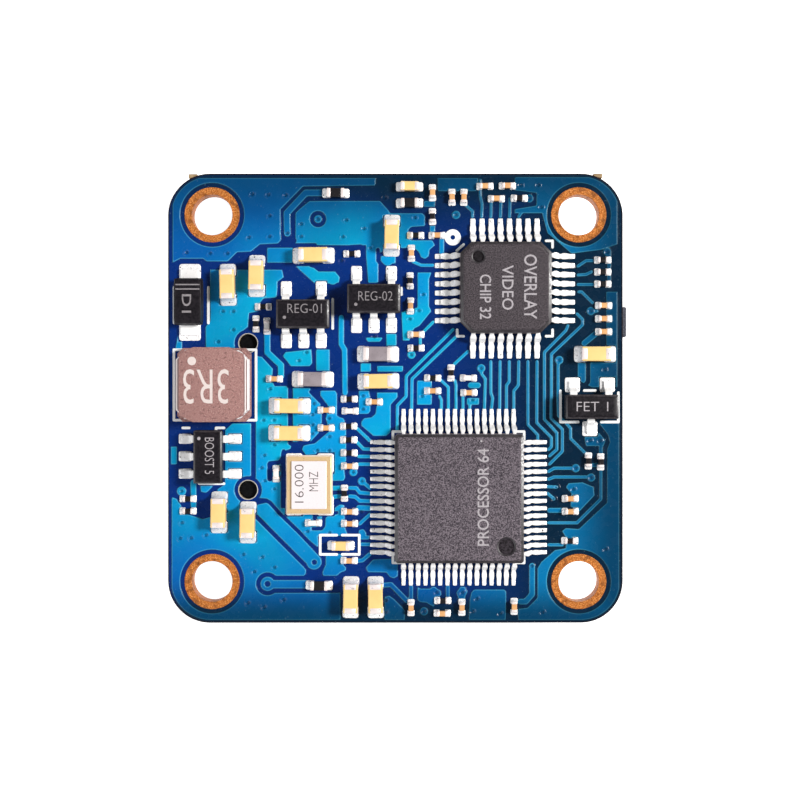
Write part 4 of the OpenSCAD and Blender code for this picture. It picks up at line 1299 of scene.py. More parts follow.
@dataclass(frozen=True)
class ChipParts:
    """All chip parts of one kind: bodies, wrap-round metal ends and the solder that climbs the ends.

    The stem begins the names of the two CAD nodes, which end in bodies and in ends.
    """

    name: str
    stem: str
    finish: Finish
    slot: str
    end_length: float
    pad_span: float
    pad_width: float
    body_edge: float = 0.04
    climb: float = 0.62
    crooked: float = 0.02
    wall: float = 0.03

    def build(self) -> None:
        """Builds the kind on whichever faces it stands."""
        boxes = solids(f"{self.stem}_bodies")
        side = np.sort((boxes[0, 1] - boxes[0, 0])[:2])[::-1] + 2 * self.wall
        height = (boxes[0, 1] - boxes[0, 0])[2] + 2 * self.wall
        body, ends, solder = [], [], []
        for face in Face:
            here = on_face(boxes, face)
            if not len(here):
                continue
            base = (here[0][0][2] if face is Face.TOP else here[0][1][2]) - self.wall * face.value
            spots = standing(here)
            draw = np.random.default_rng(len(here))
            spots[:, 3] += draw.uniform(-self.crooked, self.crooked, len(here))

            def set_down(shell: Shell) -> Shell:
                """Stands or hangs a part that was built upwards from height 0."""
                shell = shell if face is Face.TOP else shell.hung(0)
                return shell.moved(z=base).spread(spots)

            length, width = side
            gap = self.wall * 0.3
            block = soft_block(length - 2 * gap, width - 2 * gap, gap, height - gap, self.body_edge)
            body.append(set_down(block))
            ends.append(set_down(self.cap(length, width, height)))
            solder.append(set_down(self.fillet(length, width, height)))
        joined(body).piece(self.name, self.finish, self.slot, [f"{self.stem}_bodies"])
        joined(ends).piece(f"{self.name}_metal_ends", END_CAP, "solder", [f"{self.stem}_ends"])
        joined(solder).piece(f"{self.name}_solder", SOLDER, "solder")

    def cap(self, length: float, width: float, height: float) -> Shell:
        """Both ends: rounded rings stood across X that swell past the body and close over its end."""
        e, x = self.end_length, length / 2
        across = np.array([-0.01, 0.012, 0.012, -0.02, -0.1 * width - 0.03])
        rings = rounded_rings(width + across, height + across, 0.18 * height,
                              np.array([x - e, x - e + 0.015, x - 0.05, x - 0.01, x]), n=3,
                              y=height / 2)
        one = loft(rings[..., [2, 0, 1]])
        return one.spread([[0, 0, 0, 0], [0, 0, 0, np.pi]])

    def fillet(self, length: float, width: float, height: float) -> Shell:
        """Solder at both ends: its outer side sweeps in by a power of one less the rise."""
        rise = np.array([0.0, 0.0, 0.22, 0.5, 0.78, 1.0])
        z = np.array([-0.03, 0.02, *(0.02 + rise[2:] * (self.climb * height - 0.02))])
        inner = length / 2 - 0.6 * self.end_length
        outer = length / 2 + (self.pad_span - length) / 2 * (1 - rise) ** 2.2 + 0.012
        across = 0.94 * self.pad_width + (width * 0.85 - 0.94 * self.pad_width) * rise
        thick = outer - inner
        rings = rounded_rings(thick, across, 0.28 * thick, z, n=3, x=(outer + inner) / 2)
        return loft(rings).spread([[0, 0, 0, 0], [0, 0, 0, np.pi]])


# ---------------------------------------------------------------- other parts on top


def cut_plate(w: float, d: float, cx: float, cy: float, rows: Sequence[tuple[float, float]]) -> Shell:
    """Plate with cut corners: one eight-sided ring for each row of inset and height."""
    inset, z = np.array(rows, float).T
    a, b = (w / 2 - inset), (d / 2 - inset)
    c, e = a - cx, b - cy
    x = np.stack([a, a, c, -c, -a, -a, -c, c], 1)
    y = np.stack([-e, e, b, b, e, -e, -b, -b], 1)
    return loft(np.stack([x, y, np.broadcast_to(z[:, None], x.shape)], -1))


@dataclass(frozen=True)
class PowerInductor:
    """Drum core between two cut-corner flanges, with a coated winding and two flat terminals."""

    top_scale: float = 0.86
    flange: float = 0.35
    post: float = 0.92
    sunk: float = 0.1
    edge: float = 0.045
    turns: int = 5
    marks: tuple[Mark, ...] = ()
    dots: tuple[tuple[float, float, float], ...] = ()

    def build(self) -> None:
        """Builds core, winding, coat, terminals and paint."""
        lo, hi = box_mm("inductor_core")
        (x, y), side, e = (lo + hi)[:2] / 2, hi[0] - lo[0], self.edge
        z0, z1, z2, z3 = lo[2], lo[2] + self.flange, hi[2] - self.flange, hi[2]

        def soft(base: float, top: float) -> list[tuple[float, float]]:
            """Insets and heights of a flange whose two edges are eased by e."""
            ease = [(e, 0), (0.3 * e, 0.3 * e), (0, e)]
            return [(i, base + up) for i, up in ease] + [(i, top - up) for i, up in ease[::-1]]

        low = cut_plate(side, hi[1] - lo[1], 0.3, 0.3, soft(z0, z1))
        high = cut_plate(side * self.top_scale, hi[1] - lo[1], 0.75, 0.36, soft(z2, z3))
        wide, ends = 2 * self.post, np.array([z1 - self.sunk, z2 + self.sunk])
        post = loft(rounded_rings(wide, wide, self.post, ends, n=10))
        joined([low, high, post]).moved(x, y).piece(
            "inductor_ferrite", FERRITE, "ferrite", ["inductor_core"])
        self.winding(x, y)
        self.coat(x, y)
        carried("inductor_terminals", TIN, 0.03)
        signs = [m.shell(z3) for m in self.marks] + [dot(*s, z3) for s in self.dots]
        joined(signs).piece("inductor_marks", PAINT, "ink")

    def winding(self, x: float, y: float) -> None:
        """Copper turns: the radius swells by a half sine for each turn."""
        lo, hi = box_mm("inductor_winding")
        radius, share = (hi[0] - lo[0]) / 2, np.linspace(0, 1, 8 * self.turns + 1)
        out = radius - 0.06 + 0.06 * np.abs(np.sin(np.pi * self.turns * share))
        z = lo[2] + (hi[2] - lo[2]) * share
        profile = np.vstack([np.column_stack([out, z]), [[self.post, hi[2]], [self.post, lo[2]]]])
        revolved(profile, 48).moved(x, y).piece(
            "inductor_wire", COPPER, "winding", ["inductor_winding"])

    def coat(self, x: float, y: float) -> None:
        """Pale coat: its sides wave in and out once for each turn."""
        lo, hi = box_mm("inductor_sleeve")
        share = np.linspace(0, 1, 6 * self.turns + 1)
        inset = 0.05 * (1 - np.abs(np.sin(np.pi * self.turns * share)))
        w, d, _ = hi - lo
        rows = np.column_stack([inset, lo[2] + (hi[2] - lo[2]) * share])
        cut_plate(w, d, 0.5, 0.5, rows).moved(x, y).piece(
            "inductor_coat", COAT, "resin", ["inductor_sleeve"])


@dataclass(frozen=True)
class Crystal:
    """Ceramic tub with a gold seal ring and a welded lid."""

    marks: tuple[Mark, ...] = ()

    def build(self) -> None:
        """Dresses the CAD solids, rounds their edges and prints the lid."""
        carried("crystal_base", TUB, 0.04)
        carried("crystal_blank", QUARTZ)
        carried("crystal_seal_ring", GOLD, 0.02)
        carried("crystal_lid", LID, 0.03)
        top = box_mm("crystal_lid")[1][2]
        joined([m.shell(top) for m in self.marks]).piece("crystal_marks", LASER_DARK, "ink")


@dataclass(frozen=True)
class Diode:
    """Flat moulded diode with its band and two flat feet."""

    draft: float = 0.07
    bands: tuple[float, float] = (6.12, 5.88)
    band_width: float = 0.07
    marks: tuple[Mark, ...] = ()

    def build(self) -> None:
        """Builds the body, its band and its feet."""
        lo, hi = box_mm("diode_body")
        (w, d), (x, y) = (hi - lo)[:2], (hi + lo)[:2] / 2
        z0, z1, f = lo[2] + 0.14, hi[2], self.draft
        part = (z0 + z1) / 2
        levels = [(f, z0), (0, part - 0.03), (0, part + 0.03), (0.02, part + 0.035), (f, z1 - 0.04),
                  (f + 0.012, z1 - 0.012), (f + 0.04, z1)]
        block = moulded_block(w, d, levels, 0.06, cells=8)
        seat = soft_block(w - 0.1, 1.5, lo[2], z0 + 0.05, 0.03)
        joined([block, seat]).moved(x, y).piece(
            "diode_moulding", BLACK, "moulding_black", ["diode_body"])
        feet = [soft_block(*(b[1] - b[0])[:2], b[0][2], b[1][2], 0.04).moved(*b.mean(0)[:2])
                for b in solids("diode_terminals")]
        joined(feet).piece("diode_feet", TIN, "lead_metal", ["diode_terminals"])
        lines = [soft_block(w - 0.3, self.band_width, z1 - 0.004, z1 + 0.004, 0.002).moved(x, b)
                 for b in self.bands]
        signs = [m.shell(z1) for m in self.marks]
        joined([*lines, *signs]).piece("diode_marks", LASER_FAINT, "ink")


# ---------------------------------------------------------------- underside


@dataclass(frozen=True)
class Underside:
    """Card socket, wire connector, side switch, status lamp and motion sensor."""

    leaf_thick: float = 0.06
    marks: tuple[Mark, ...] = ()

    def build(self) -> None:
        """Dresses every solid and rounds its edges."""
        rows: list[tuple[str, Finish, float]] = [
            ("card_socket_base", SOCKET, 0.04), ("card_socket_shell", STEEL, 0.04),
            ("card_socket_contacts", GOLD, 0.02), ("wire_connector_housing", IVORY, 0.06),
            ("wire_connector_pins", TIN, 0.03), ("wire_connector_tabs", TIN, 0.03),
            ("switch_base", SOCKET, 0.04), ("switch_cover", STEEL, 0.03),
            ("switch_terminals", GOLD, 0.02), ("switch_button", SLATE, 0.07),
            ("status_led_base", WHITE, 0.02), ("status_led_lens", LENS, 0.05),
            ("status_led_ends", GOLD, 0.02), ("motion_sensor", CHIP_DARK, 0.04)]
        for node, finish, edge in rows:
            carried(node, finish, edge)
        self.leaf()
        low = box_mm("motion_sensor")[0][2]
        joined([m.shell(low, Face.UNDERSIDE) for m in self.marks]).piece("sensor_marks", LASER, "ink")

    def leaf(self) -> None:
        """Snap leaf behind the button: a bowed strip.

        The strip is drawn lying down, along X and bowed up Z, and then its axes change places.
        """
        lo, hi = box_mm("switch_dome")
        share, t = np.linspace(-1, 1, 17), self.leaf_thick
        along = (lo[1] + hi[1]) / 2 + share * ((hi[1] - lo[1]) / 2 - 0.02)
        bow = lo[0] + t / 2 + (hi[0] - lo[0] - t) * (1 - share ** 2)
        strip = strip_along(np.column_stack([along, bow]), hi[2] - lo[2], t, 0.01)
        leaf = Shell(strip.points[:, [2, 0, 1]], strip.corners, strip.sizes)
        obj = leaf.moved(z=(lo[2] + hi[2]) / 2).piece(
            "switch_leaf", STEEL, "shell_steel", ["switch_dome"])
        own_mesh(obj)


# ---------------------------------------------------------------- studio


@dataclass(frozen=True)
class Lamp:
    """A soft square light that looks at the board's middle; place and side in millimetres."""

    name: str
    x: float
    y: float
    z: float
    side: float
    power: float
    tone: Colour = (1.0, 1.0, 1.0)

    def build(self) -> None:
        """Hangs the light."""
        light = bpy.data.lights.new(self.name, "AREA")
        light.energy, light.size, light.color = self.power, self.side * MM, self.tone
        lamp = bpy.data.objects.new(self.name, light)
        at = Vector((self.x, self.y, self.z)) * MM
        lamp.location = at
        lamp.rotation_euler = (-at).to_track_quat("-Z", "Y").to_euler()
        bpy.context.scene.collection.objects.link(lamp)


@dataclass(frozen=True)
class Studio:
    """Pale floor, soft light and a camera that looks straight down."""

    lamps: tuple[Lamp, ...] = ()
    sky: float = 0.2
    camera_at: tuple[float, float, float] = (0.25, -0.10, 81.05)
    lens: float = 66.0
    floor_side: float = 1500.0
    floor_thick: float = 4.0
    floor_gap: float = 0.02

    def build(self) -> None:
        """Lays the floor, hangs the lamps and sets the camera."""
        low = CAD_BOX[0][2] / MM - self.floor_gap
        floor = soft_block(self.floor_side, self.floor_side, low - self.floor_thick, low, 1.0, 40.0)
        mesh = bpy.data.meshes.new("studio_floor")
        faces = np.split(floor.corners, np.cumsum(floor.sizes)[:-1])
        mesh.from_pydata((floor.points * MM).tolist(), [], faces)
        mesh.materials.append(PAPER.material())
        board = bpy.data.objects.new("studio_floor", mesh)
        bpy.context.scene.collection.objects.link(board)
        for lamp in self.lamps:
            lamp.build()
        world = bpy.context.scene.world or bpy.data.worlds.new("studio")
        bpy.context.scene.world = world
        world.use_nodes = True
        nodes = world.node_tree.nodes
        back = nodes.get("Background") or nodes.new("ShaderNodeBackground")
        back.inputs[0].default_value, back.inputs[1].default_value = (1, 1, 1, 1), self.sky
        camera = bpy.data.cameras.new("studio_camera")
        camera.lens, camera.clip_start, camera.clip_end = self.lens, 0.001, 10.0
        eye = bpy.data.objects.new("studio_camera", camera)
        eye.location = Vector(self.camera_at) * MM
        bpy.context.scene.collection.objects.link(eye)
        bpy.context.scene.camera = eye
        bpy.context.scene.view_settings.view_transform = "Standard"


# ---------------------------------------------------------------- this board's drawing

TOP_COPPER = CopperDrawing(
    pours="""
0 -7.62,2.3 -7.3,2.25 -6.7,1.6 -6.75,0.95 -6.6,0.65 -5.95,0.65 -5.87,0.55 -5.87,-2.5 -5.7,-2.62
  -5.72,-2.75 -6,-2.85 -6.25,-3 -6.25,-6 -3.3,-6 -3.2,-5.9 -3,-5.8 -2.8,-5.85 -2.75,-7.1 -2.6,-7.5
  -4.25,-7.5 -4.2,-8.15 -5.2,-7.35 -6.2,-6.3 -6.8,-5.6 -7.62,-5.4
0 -12.2,-5.4 -11.95,-5.5 -11.7,-5.85 -11.5,-6.3 -10.5,-6.6 -9,-6.2 -7.9,-5.9 -7,-5.7 -6.25,-6.35
  -5.25,-7.32 -4.4,-8.22 -4.03,-8.7 -4.03,-9.05 -4.25,-9.28 -4.6,-9.3 -4.9,-9.35 -4.88,-9.5
  -4.97,-9.68 -7.3,-9.68 -7.3,-10.62 -3,-10.62 -3,-12.1 -12.2,-12.1
0 -8.9,-1.38 -7.5,-1.38 -7.5,-4.3 -7.9,-6.4 -9,-6.4 -9.75,-5 -9.3,-4.7 -9.3,-1.75
0 -10.1,7 -6.2,7 -6.1,6.6 -6.45,6.35 -6.45,6 -6.5,5.5 -7.2,5.45 -7.4,5.2 -7.4,4.75 -8,4.65
  -8.05,3.9 -8.3,3.7 -8.3,2.6 -10.35,2.6 -10.35,3.9 -10.1,4.2
0 -5.6,0.55 -4.65,0.55 -4.6,0.4 -4.1,-0.15 -4.1,-0.5 -4.03,-0.9 -4.03,-1.4 -4.2,-1.9 -4.65,-2.38
  -5.6,-2.38
0 -4.1,0.4 -3.3,0.4 -3.2,0.25 -3.2,-0.95 -3.05,-1.05 -2.85,-1.1 -2.75,-1.3 -2.7,-1.6 -2.7,-3.4
  -2.83,-3.7 -2.75,-4.35 -2.85,-4.5 -3.5,-4.5 -3.5,-3 -4.9,-3.1 -5.1,-2.8 -5.02,-2.6 -4.75,-2.53
  -4.4,-2.48 -3.6,-1.8 -3.75,-1.3 -3.8,-1.1 -3.75,-0.9 -3.72,-0.35 -4.1,0.15
0 -1,0.3 0.1,0.3 0.1,0.05 -0.27,-0.35 -0.27,-1.85 -0.5,-2.05 -1.2,-2.05 -1.85,-1.5 -1.87,-1.3
  -1.7,-1.1 -1.3,-1.05 -1.08,-0.85 -1.03,-0.45
0 -2,0.4 -1.45,0.4 -1.38,0 -1.38,-0.7 -1.5,-0.85 -2,-0.85
0 -3.8,-8.5 -3.8,-9.1 -4,-9.45 -3.95,-9.68 -3.2,-9.68 -3,-9.5 -2.72,-9.4 -2.7,-9.25 -2.85,-9.1
  -2.85,-8.5
0 -1.62,-9.25 -1.2,-8.8 0.12,-8.75 0.12,-9.7 -0.1,-9.82 -0.3,-9.75 -0.5,-9.5 -1.5,-9.48
0 -0.6,-10.85 -0.35,-10.78 -0.1,-10.95 0.5,-11.55 0.5,-12.1 -0.6,-12.1
0 -2,-7.2 -1.75,-7.15 -1.6,-7.35 -1.6,-7.5 -1.4,-7.5 -1.4,-7.7 -2,-7.7
0 1.2,-10.3 1.35,-10.4 1.9,-10.4 2,-10.3 2.15,-10.3 2.3,-10.42 2.45,-10.5 2.5,-10.7 2.4,-10.85
  2.15,-11 2.1,-11.38 1.9,-11.28 1.7,-11.15 1.35,-11.12 1.2,-11
0 3.33,-10.6 3.55,-10.3 3.78,-10.3 3.93,-10.55 3.8,-10.8 3.78,-11.1 3.5,-11.1
0 4.15,-10.6 4.3,-10.45 5.92,-10.45 6.03,-10.55 6.03,-11.3 6,-12.1 4,-12.1 4.05,-11
0 -10.65,-4.78 -9.95,-4.78 -10.2,-5.05 -10.35,-5.15 -10.6,-5.1
0 -12.25,-2.65 -11.92,-2.65 -11.92,-3.6 -12.25,-3.6
0 -11.85,3.6 -11.65,3.6 -11.65,2.65 -12,2.65
0 11.5,5.8 12.1,5.8 12.1,0.6 10.7,0.6 9.95,1 9.95,1.95 11.5,1.95
0 -12.15,12 -1,12 -1,11.6 -5.05,11.56 -6.28,10.3 -6.26,8.45 -7.4,8.4 -7.9,8 -8.65,7.97 -9.15,7.47
  -10.3,7.47 -10.5,7.62 -11.75,7.62 -12.15,7.4
0 -5.45,8.35 -1.6,8.35 -1.6,6.3 -0.95,6.3 -0.95,7.9 -0.3,8.2 0.6,8.2 1,8.2 1.25,8 1.4,7.7 1.6,7.6
  1.8,7.75 1.85,8.1 2.15,8.35 2,8.6 0.85,8.6 0.7,8.8 0.7,9.2 0.85,9.35 1.6,9.4 1.6,9.95 1.45,10.08
  -0.3,10.08 -0.4,10.25 -0.85,10.75 -4.8,10.75 -5.45,10.1
0 -7.0,8.2 -7.0,7.4 -5.6,7.4 -5.6,8.2
0 -5.5,7.2 -4.6,7.2 -4.2,6.9 -3.3,6.9 -3.05,6.6 -3.1,6.3 -4.6,6.2
0 -0.8,7.75 -0.8,7.35 0,7.35 0,7.75
0 1.55,10.75 1.55,10.45 2.15,10.45 2.15,10.75
0 1.88,9.4 1.88,9.05 2.15,9.05 2.15,9.4
0 1.2,6.85 1.95,6.85 1.82,6.5 1.82,5 1.95,4.75 1.3,3.95 1,3.8 0.75,3.15 0.4,3.15 0.33,4.7 1.2,4.95
0 2.3,12 2.3,11.3 4.5,11.3 4.5,12
0 1.18,0.95 1.97,0.95 1.97,-0.35 1.18,-0.35
0 3.9,0 4.55,0 4.55,-0.35 3.9,-0.35
0 6.5,12.05 6.5,11.35 7.7,11.2 7.7,10.5 6.5,10.3 6.5,10.1 8,10.1 8.3,9 9.6,7.9 11.2,8.1 12.1,8.4
  12.1,12.05
0 9.3,-4.85 9.45,-4.65 10.2,-4.6 10.8,-4.85 10.85,-5.3 10,-6.2 9.55,-5.9 9.6,-5.2
0 10.3,-2.1 11.1,-1.9 11.45,-2.3 11.35,-2.6 10.4,-2.6
0 11.1,-1.35 11.6,-2 11.7,-2.4 11.55,-2.8 11.55,-5.7 10,-7.15 9.3,-7.1 9.1,-7.25 9.3,-7.6 9.3,-8.2
  8.7,-8.3 7.95,-8.95 7.75,-9.3 7.75,-10.9 7.2,-11.45 6.7,-11.5 6.7,-12.1 12.2,-12.1 12.2,-1.3
0 -6.15,2.3 -6,2.5 -4.6,2.65 -4.55,1.9 -4.7,1.75 -5.7,1.75
0 -4.33,2.65 -3.6,2.65 -3.6,1.5 -4.33,1.5
0 -1.65,3.3 -0.7,3.3 -0.85,3.08 -1.5,3.08
0 -0.5,3.5 0.05,3.5 0.05,2.85 -0.5,2.85
0 -1.9,1.9 -1.35,1.9 -1.35,1.45 -1.9,1.45
0 -1,1.75 0.4,1.75 0.4,1.45 -1,1.45
""",
    gaps="""
0.9 -4.23,9.77
0.2 -0.75,10.95 -0.2,10.4 1.6,10.3
0.22 -7.4,-5.55 -7.05,-5.58 -6.85,-5.7 -6.25,-6.35 -5.25,-7.32 -4.4,-8.22 -4,-8.65 -3.92,-9
  -4.05,-9.4 -4.3,-9.55
0.25 -7.6,-6.45 -6.4,-7.65 -4.95,-9.1 -4.6,-9.5
0.27 -7.75,-1.2 -7.75,-4.3
1.26 -6.98,-10.13
0.27 -6.9,-9.83 -3.2,-9.83
0.24 -6.9,-10.51 -3.2,-10.51
0.2 -4.5,-7.12 -4.05,-7.12 -3.92,-6.95 -3.92,-6.5 -3.72,-6.32 -3.2,-6.25
0.25 -4.4,-6.2 -4.4,-6.6
0.24 -6.85,-3.55 -6.3,-3.5 -6.15,-3.3 -6.1,-2.9
0.3 -6.85,-3.6 -6.85,-4.4
0.24 -4.6,0.35 -3.8,-0.45
0.25 10.5,1.9 10.5,0.9 10.15,0.5
0.22 -6.15,8.6 -6.17,10.25 -5,11.45 -1,11.5 -0.98,11.95 0,11.85
0.22 -5.55,8.55 -5.6,10.15 -4.75,10.85 -0.75,10.9
0.4 -6.2,8.4 -5.6,8.6
0.22 -6.4,8.35 -4.4,8.35
0.22 -7,7.25 -5.7,7.25 -5.5,7.1 -4.5,6.2
0.22 -4.6,7.25 -4,7.1 -3.2,7.1 -2.95,6.95
0.4 -2.7,7 -2.65,6.2
0.22 -2.5,8.25 -1.9,8.28 -1.75,8.1 -1.68,7.4 -1.6,6.2
0.22 -0.95,8.1 -0.95,7.5 -0.6,7.1 -0.65,6.2
0.5 7.45,-9.15 7.45,-10.7 7.1,-11.1 6.8,-11.1
""",
    traces="""
0.42 -4.23,9.77
0.6 -0.43,7.53
0.44 -6.9,-10.15 -4.9,-10.15
0.76 -6.98,-10.13
0.3 -11.02,-4.6 -11.02,-5.9
0.5 -11.67,-5.07
0.25 -3.5,-4.92 -3,-4.9
0.22 -3.5,-5.4 -3.05,-5.35
0.18 -2.1,-1.65 -1.4,-2.32
0.18 -2.1,-2.4 -1.75,-2.77 -1.4,-2.78
0.18 -2,-3.18 -1.4,-3.18
0.18 -2,-3.6 -1.4,-3.6
0.2 -1.83,-4.53 -1.4,-4.88
0.2 -2.5,-4.9 -2.15,-4.9 -1.95,-5.15 -1.4,-5.2
0.2 -2.5,-5.35 -2.2,-5.38 -1.95,-5.6 -1.4,-5.62
0.28 -2,-5.98 -1.4,-6
0.18 -1.95,-6.85 -1.4,-6.35
0.18 -1.85,-7.97 -1.4,-7.97
0.2 -2.05,-8.87 -1.8,-8.85 -1.4,-8.5
0.25 -0.6,-10.2 -0.25,-10.17 0.62,-11.05
0.2 0.85,-10.3 0.85,-11.1
0.82 -4.45,-8.93
0.35 -5.9,9 -5.93,10.1 -4.9,11.2 -3.9,11.2
0.25 2.52,8.65 2.52,7.9
0.16 0.95,7.45 1.4,7.25 2.03,7.25
0.16 1.55,3.65 2.05,4.15
0.16 1.35,3.3 1.35,2.95
0.16 3.15,3.75 0.58,1.2 0.58,0.1 0.1,-0.4 0.1,-1.8
0.16 3.3,3.35 0.9,1.05 0.88,-0.6
0.16 3.95,2.55 3.2,1.85
0.15 3.25,0.95 3.3,0.7 3.3,-0.6
0.15 2.45,1 2.88,0.6 2.88,-0.6
0.15 2.4,0.1 2.5,-0.1 2.5,-0.6
0.3 4.1,0.7 4.5,0.7
0.15 4.05,-0.2 4.05,-0.6
0.15 3.68,0.1 3.68,-0.6
0.15 4.67,1.63 4.68,1.35 4.9,1.05 4.85,-0.6
0.15 5.2,2 5.2,0.3 5.3,0 5.23,-0.6
0.15 5.7,2 5.68,-0.6
0.15 6.2,2 6.2,0.9 6.05,0.7 6.05,-0.6
0.15 6.72,2 6.7,0.7 6.45,0.4 6.45,-0.6
0.15 7.22,2 7.22,-1.45 7.75,-2 7.75,-2.3
0.15 7.72,2 7.7,-1.35 8.5,-2.15 8.5,-2.65 8.35,-2.8
0.15 9.4,3.95 9.3,3.7 8.12,2.5 8.12,-1.15 8.8,-1.9 8.8,-2.8 8.4,-3.15
0.15 9.9,4.6 10.2,4.3 10.2,4 8.5,2.4 8.5,-1.1 9.1,-1.7 9.1,-2.9 8.4,-3.6
0.15 8.93,2.08 8.87,1.8 8.87,0.2 8.9,-0.95 9.3,-1.35 9.55,-1.65 9.55,-2.2 10.35,-3
0.15 4.2,9.9 4.2,10.2 3.85,10.5
0.15 4.7,9.9 4.72,10.6 4.62,11 4.62,11.9
0.15 5.2,9.9 5.22,10.7
0.15 5.72,9.9 5.75,10.7
0.15 6.22,9.9 6.25,10.9
0.15 6.72,9.9 6.9,10.2 7.9,10.4
0.15 9.95,7.2 10.4,7.5 10.9,7.5
0.15 9.95,6.72 10.4,6.75 10.7,6.9
0.15 9.95,6.2 10.8,6.2
0.15 10,5.8 10.15,5.8 10.75,5.2
0.16 10.65,4.75 11,4.75
0.2 11.65,7.9 11.65,6.1
0.3 10.3,3 10.9,3.5
0.16 8.35,-4 8.65,-3.82 9.6,-3.82
0.16 8.35,-4.42 8.65,-4.3 10.4,-4.3
0.16 8.3,-4.83 8.8,-4.85
0.16 8.3,-5.2 8.65,-5.5
0.25 8.4,-6.12 9.1,-6.12
0.16 11.2,-3.95 11.2,-5.5 9.9,-6.8 8.35,-6.8
0.16 8.35,-8 9.1,-8
0.2 11.2,-2.6 11.2,-3
0.2 10.75,-3.65 11.05,-3.65
0.3 7.45,-9.15 7.45,-10.7 7.1,-11.1 6.8,-11.1
0.2 2.85,-10.3 2.85,-10.8
0.33 -7,3.5 -7,2.5 -6.25,1.8 -6.25,1.2
0.28 -2.96,4.4 -2.96,2.95 -2.78,2.65 -2.75,0.3
0.6 -3.43,6.5
0.6 -0.43,7.53
""",
    dots="""
0.34 -6.98,-10.13
0.3 -4.43,-8.95
""",
    vias="-7.82,11.13 -6.95,11.1 -6,11.07 -6.87,9.95 -8,8.77 -6.87,8.82 -11.4,7.95 -10.12,7.9 "
         "-9.18,7.9 -5.9,9 -5.15,9.5 -5.15,8.82 -2.68,9.72 -1.72,9.25 -2.88,8.8 -1.35,8.2 "
         "-0.6,10.95 -2.95,7.5 1.05,9.85 6.83,11.62 7.78,11.63 7.95,10.42 -9.42,4.73 -8.85,4.73 "
         "-8.85,3.73 -9.68,3.07 -6.85,0.5 -4.85,2.5 -5.27,2.05 -1.17,3.35 -1.77,0.12 1.5,5.65 "
         "1.27,4.77 0.78,4.32 1.45,0.1 4.2,-0.1 11.4,1.55 -7.2,-1.2 -6.62,-1.2 -6.6,-2.55 "
         "-7.15,-3.12 -7.3,-3.8 -7.12,-4.5 -6.6,-4.95 -4.45,-0.3 -4.53,-0.9 -4.53,-1.47 "
         "-4.53,-1.95 -3.62,-1.1 -3.6,-2.1 -4.27,-2.87 -3.63,-2.87 -1.77,-0.6 -1.88,-6.2 9.7,-4.97 "
         "10.6,-2.32 11.15,-2.33 -4.8,-7.27 -3.6,-7.35 -6.1,-11 -0.55,-11.05 -0.55,-11.7 "
         "4.43,-10.95 4.2,-11.65 5.7,-11.75 2.25,-10.6 8.02,-11.68 11.45,-8.25 -11.65,-6.8 "
         "-11.75,-7.65 -11.15,-7.63 -10.33,-7.47 -8.3,-8.53 -7.27,-8.67 -6.6,-9.23 -7.7,-9.47 "
         "-8.05,-11.17 -7.17,-11.4 8.8,-4.85 8.65,-5.5 3.65,-10.6 7.45,-9.15 -4.23,9.77",
    lands="3.3,10 7.3,10.9 11.55,7.97 0.87,2.37 4.67,1.63 8.93,2.08 10.65,4.75 -11.67,-5.07 "
          "-2.3,-4.03 -1.83,-4.53 9.83,-3.82 10.67,-4.33 1.55,-11.63",
)

UNDERSIDE_COPPER = CopperDrawing(
    pours="""
0 -12,12 -5,12 -5,8 -12,7.2
0 5,12 12,12 12,6.6 8.4,6.6 8.4,8 5,9.6
0 -12,-8.2 -4,-8.2 -2,-10 3,-10 3,-12 -12,-12
0 8.2,-8.8 12,-7 12,-12 7,-12 7,-9.6
0 3.2,5 4.6,5 4.6,1 3.2,1
""",
    gaps="""
0.25 -8,12 -8,9.6 -5,9.6
0.25 -6,-8.2 -6,-10.4 -2,-10.4
""",
    traces="""
0.16 3.8,0.4 5,0.4 6.6,-1.2 6.6,-3
0.16 3.8,0 4.8,0 6.2,-1.4 6.2,-3
0.16 3.8,-0.6 4.6,-0.6 5.6,-1.6 5.6,-2.6
0.16 7.6,8 7.6,6.6 8.8,5.4
0.16 6.9,8 6.9,6 5.5,4.6
0.16 6.2,4.4 7.8,2.8 9.4,2.8
0.3 9.8,1.8 9.8,-2.6 10.6,-3.4
0.16 8.6,-4.8 8.6,-3 10,-1.6 11.4,-1.6
0.3 -6.9,9 -3.4,7.6
0.3 1.4,-9.4 3.2,-7.8 3.2,-5
""",
    vias="-6.2,10.8 -9.6,7.9 6.2,10.6 9.4,7.4 -8.6,-9.4 -3.4,-11 9.4,-9.8 3.9,2.2 3.9,3.6 5.2,0.9 "
         "7.6,1.4 11,0.6",
)

SHEETS = (MaskSheet("mask_top", Face.TOP, TOP_COPPER, 0.082),
          MaskSheet("mask_underside", Face.UNDERSIDE, UNDERSIDE_COPPER, 0.12))

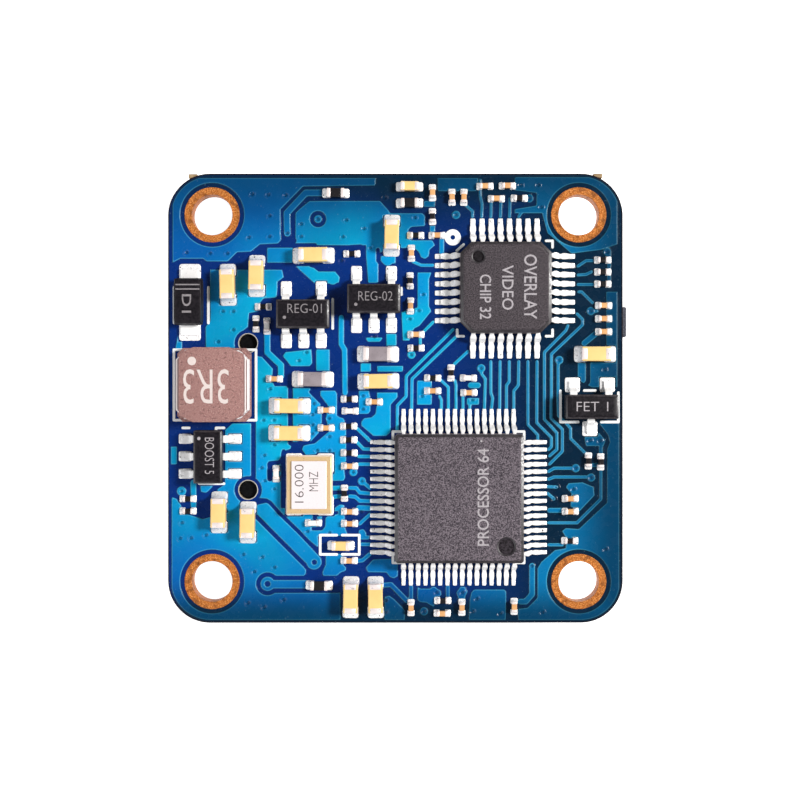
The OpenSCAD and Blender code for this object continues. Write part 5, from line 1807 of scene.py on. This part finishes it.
LARGE_BODY = {"slot": "moulding_grey", "lead_thick": 0.13, "draft": 0.2, "round_edge": 0.06, "beaded": True}
SMALL_BODY = {"finish": BLACK, "slot": "moulding_black", "cut": 0.05, "lead_thick": 0.15, "draft": 0.12}
CHIPS = (
    LeadedChip("processor", "processor_body", CHIP, cut=0.15, dimples=((2.51, -2.55, 0.5),), cells=96,
               dimple_shade_finish=DIMPLE_SHADE_GREY, marks=(Mark("PROCESSOR 64", 4.7, -5.3, 5.2, 0.62, 90),),
               dots=((4.6, -2.3, 0.06),), **LARGE_BODY),
    LeadedChip("video_chip", "video_chip_body", CHIP_DARK, cut=0.6, dimples=((-1.5, 1.64, 0.37),),
               cells=72, marks=(Mark("OVERLAY", 7.27, 5.99, 3.48, 0.7, -90),
                                Mark("VIDEO", 6.05, 5.95, 2.4, 0.62, -90),
                                Mark("CHIP 32", 4.85, 5.45, 2.4, 0.62, -90)), **LARGE_BODY),
    LeadedChip("regulator", "regulator_bodies", ink=LASER_FAINT,
               marks=(Mark("REG-01", -4.88, 4.83, 1.85, 0.5, weight=-0.01),
                      Mark("REG-02", -1.07, 5.5, 1.85, 0.5, weight=-0.01)),
               dots=((-5.97, 4.35, 0.09), (-2.13, 5.05, 0.09)), **SMALL_BODY),
    LeadedChip("boost_converter", "boost_converter_body",
               marks=(Mark("BOOST 5", -10.0, -3.1, 1.95, 0.5, -90, -0.01),),
               dots=((-10.57, -2.17, 0.09),), **SMALL_BODY),
    LeadedChip("transistor", "transistor_body",
               marks=(Mark("FET 1", 10.6, -0.45, 1.7, 0.5, weight=-0.01),), **SMALL_BODY),
)

LARGE = {"end_length": 0.3, "pad_span": 2.25, "pad_width": 0.95, "body_edge": 0.06}
MEDIUM = {"end_length": 0.22, "pad_span": 1.45, "pad_width": 0.55}
SMALL = {"end_length": 0.15, "pad_span": 0.9, "pad_width": 0.42}
PARTS = (
    ChipParts("large_capacitors", "large_capacitor", YELLOW, "yellow_ceramic", **LARGE),
    ChipParts("ferrite_beads", "bead", GREY, "grey_ceramic", **LARGE),
    ChipParts("medium_capacitors", "medium_capacitor", YELLOW, "yellow_ceramic", **MEDIUM),
    ChipParts("medium_resistors", "medium_resistor", GLAZE, "resistor_glaze", body_edge=0.02, **MEDIUM),
    ChipParts("small_capacitors", "small_capacitor", TAN, "tan_ceramic", body_edge=0.03, **SMALL),
    ChipParts("small_resistors", "small_resistor", GLAZE, "resistor_glaze", body_edge=0.015, **SMALL),
    ChipParts("small_inductors", "small_inductor", WHITE, "white_ceramic", body_edge=0.03, **SMALL),
)

STUDIO = Studio(lamps=(
    Lamp("key_light", x=210, y=40, z=200, side=60, power=1.12, tone=(1.0, 0.98, 0.96)),
    Lamp("fill_light", x=-190, y=-110, z=160, side=220, power=0.42, tone=(0.97, 0.98, 1.0))))


def main() -> None:
    """Builds the studio and every sub-assembly."""
    logging.basicConfig(level=logging.INFO, format="%(message)s")
    LOG.setLevel(logging.INFO)
    STUDIO.build()
    BareBoard().build(SHEETS)
    for chip in CHIPS:
        chip.build()
    for kind in PARTS:
        kind.build()
    PowerInductor(marks=(Mark("3R3", -10.1, 0.62, 2.42, 1.85, 180, -0.005),),
                  dots=((-10.85, 1.98, 0.23),)).build()
    Crystal(marks=(Mark("16.000", -5.2, -4.62, 2.05, 0.48, 90, -0.015),
                   Mark("MHZ", -4.42, -4.5, 1.05, 0.48, 90, -0.015))).build()
    Diode(marks=(Mark("D1", -11.25, 5.1, 1.0, 0.5, -90),)).build()
    Underside(marks=(Mark("MOTION", 6.4, -6.4, 2.0, 0.45),
                     Mark("SENSOR", 6.4, -7.2, 2.0, 0.45))).build()


if __name__ == "__main__":
    main()
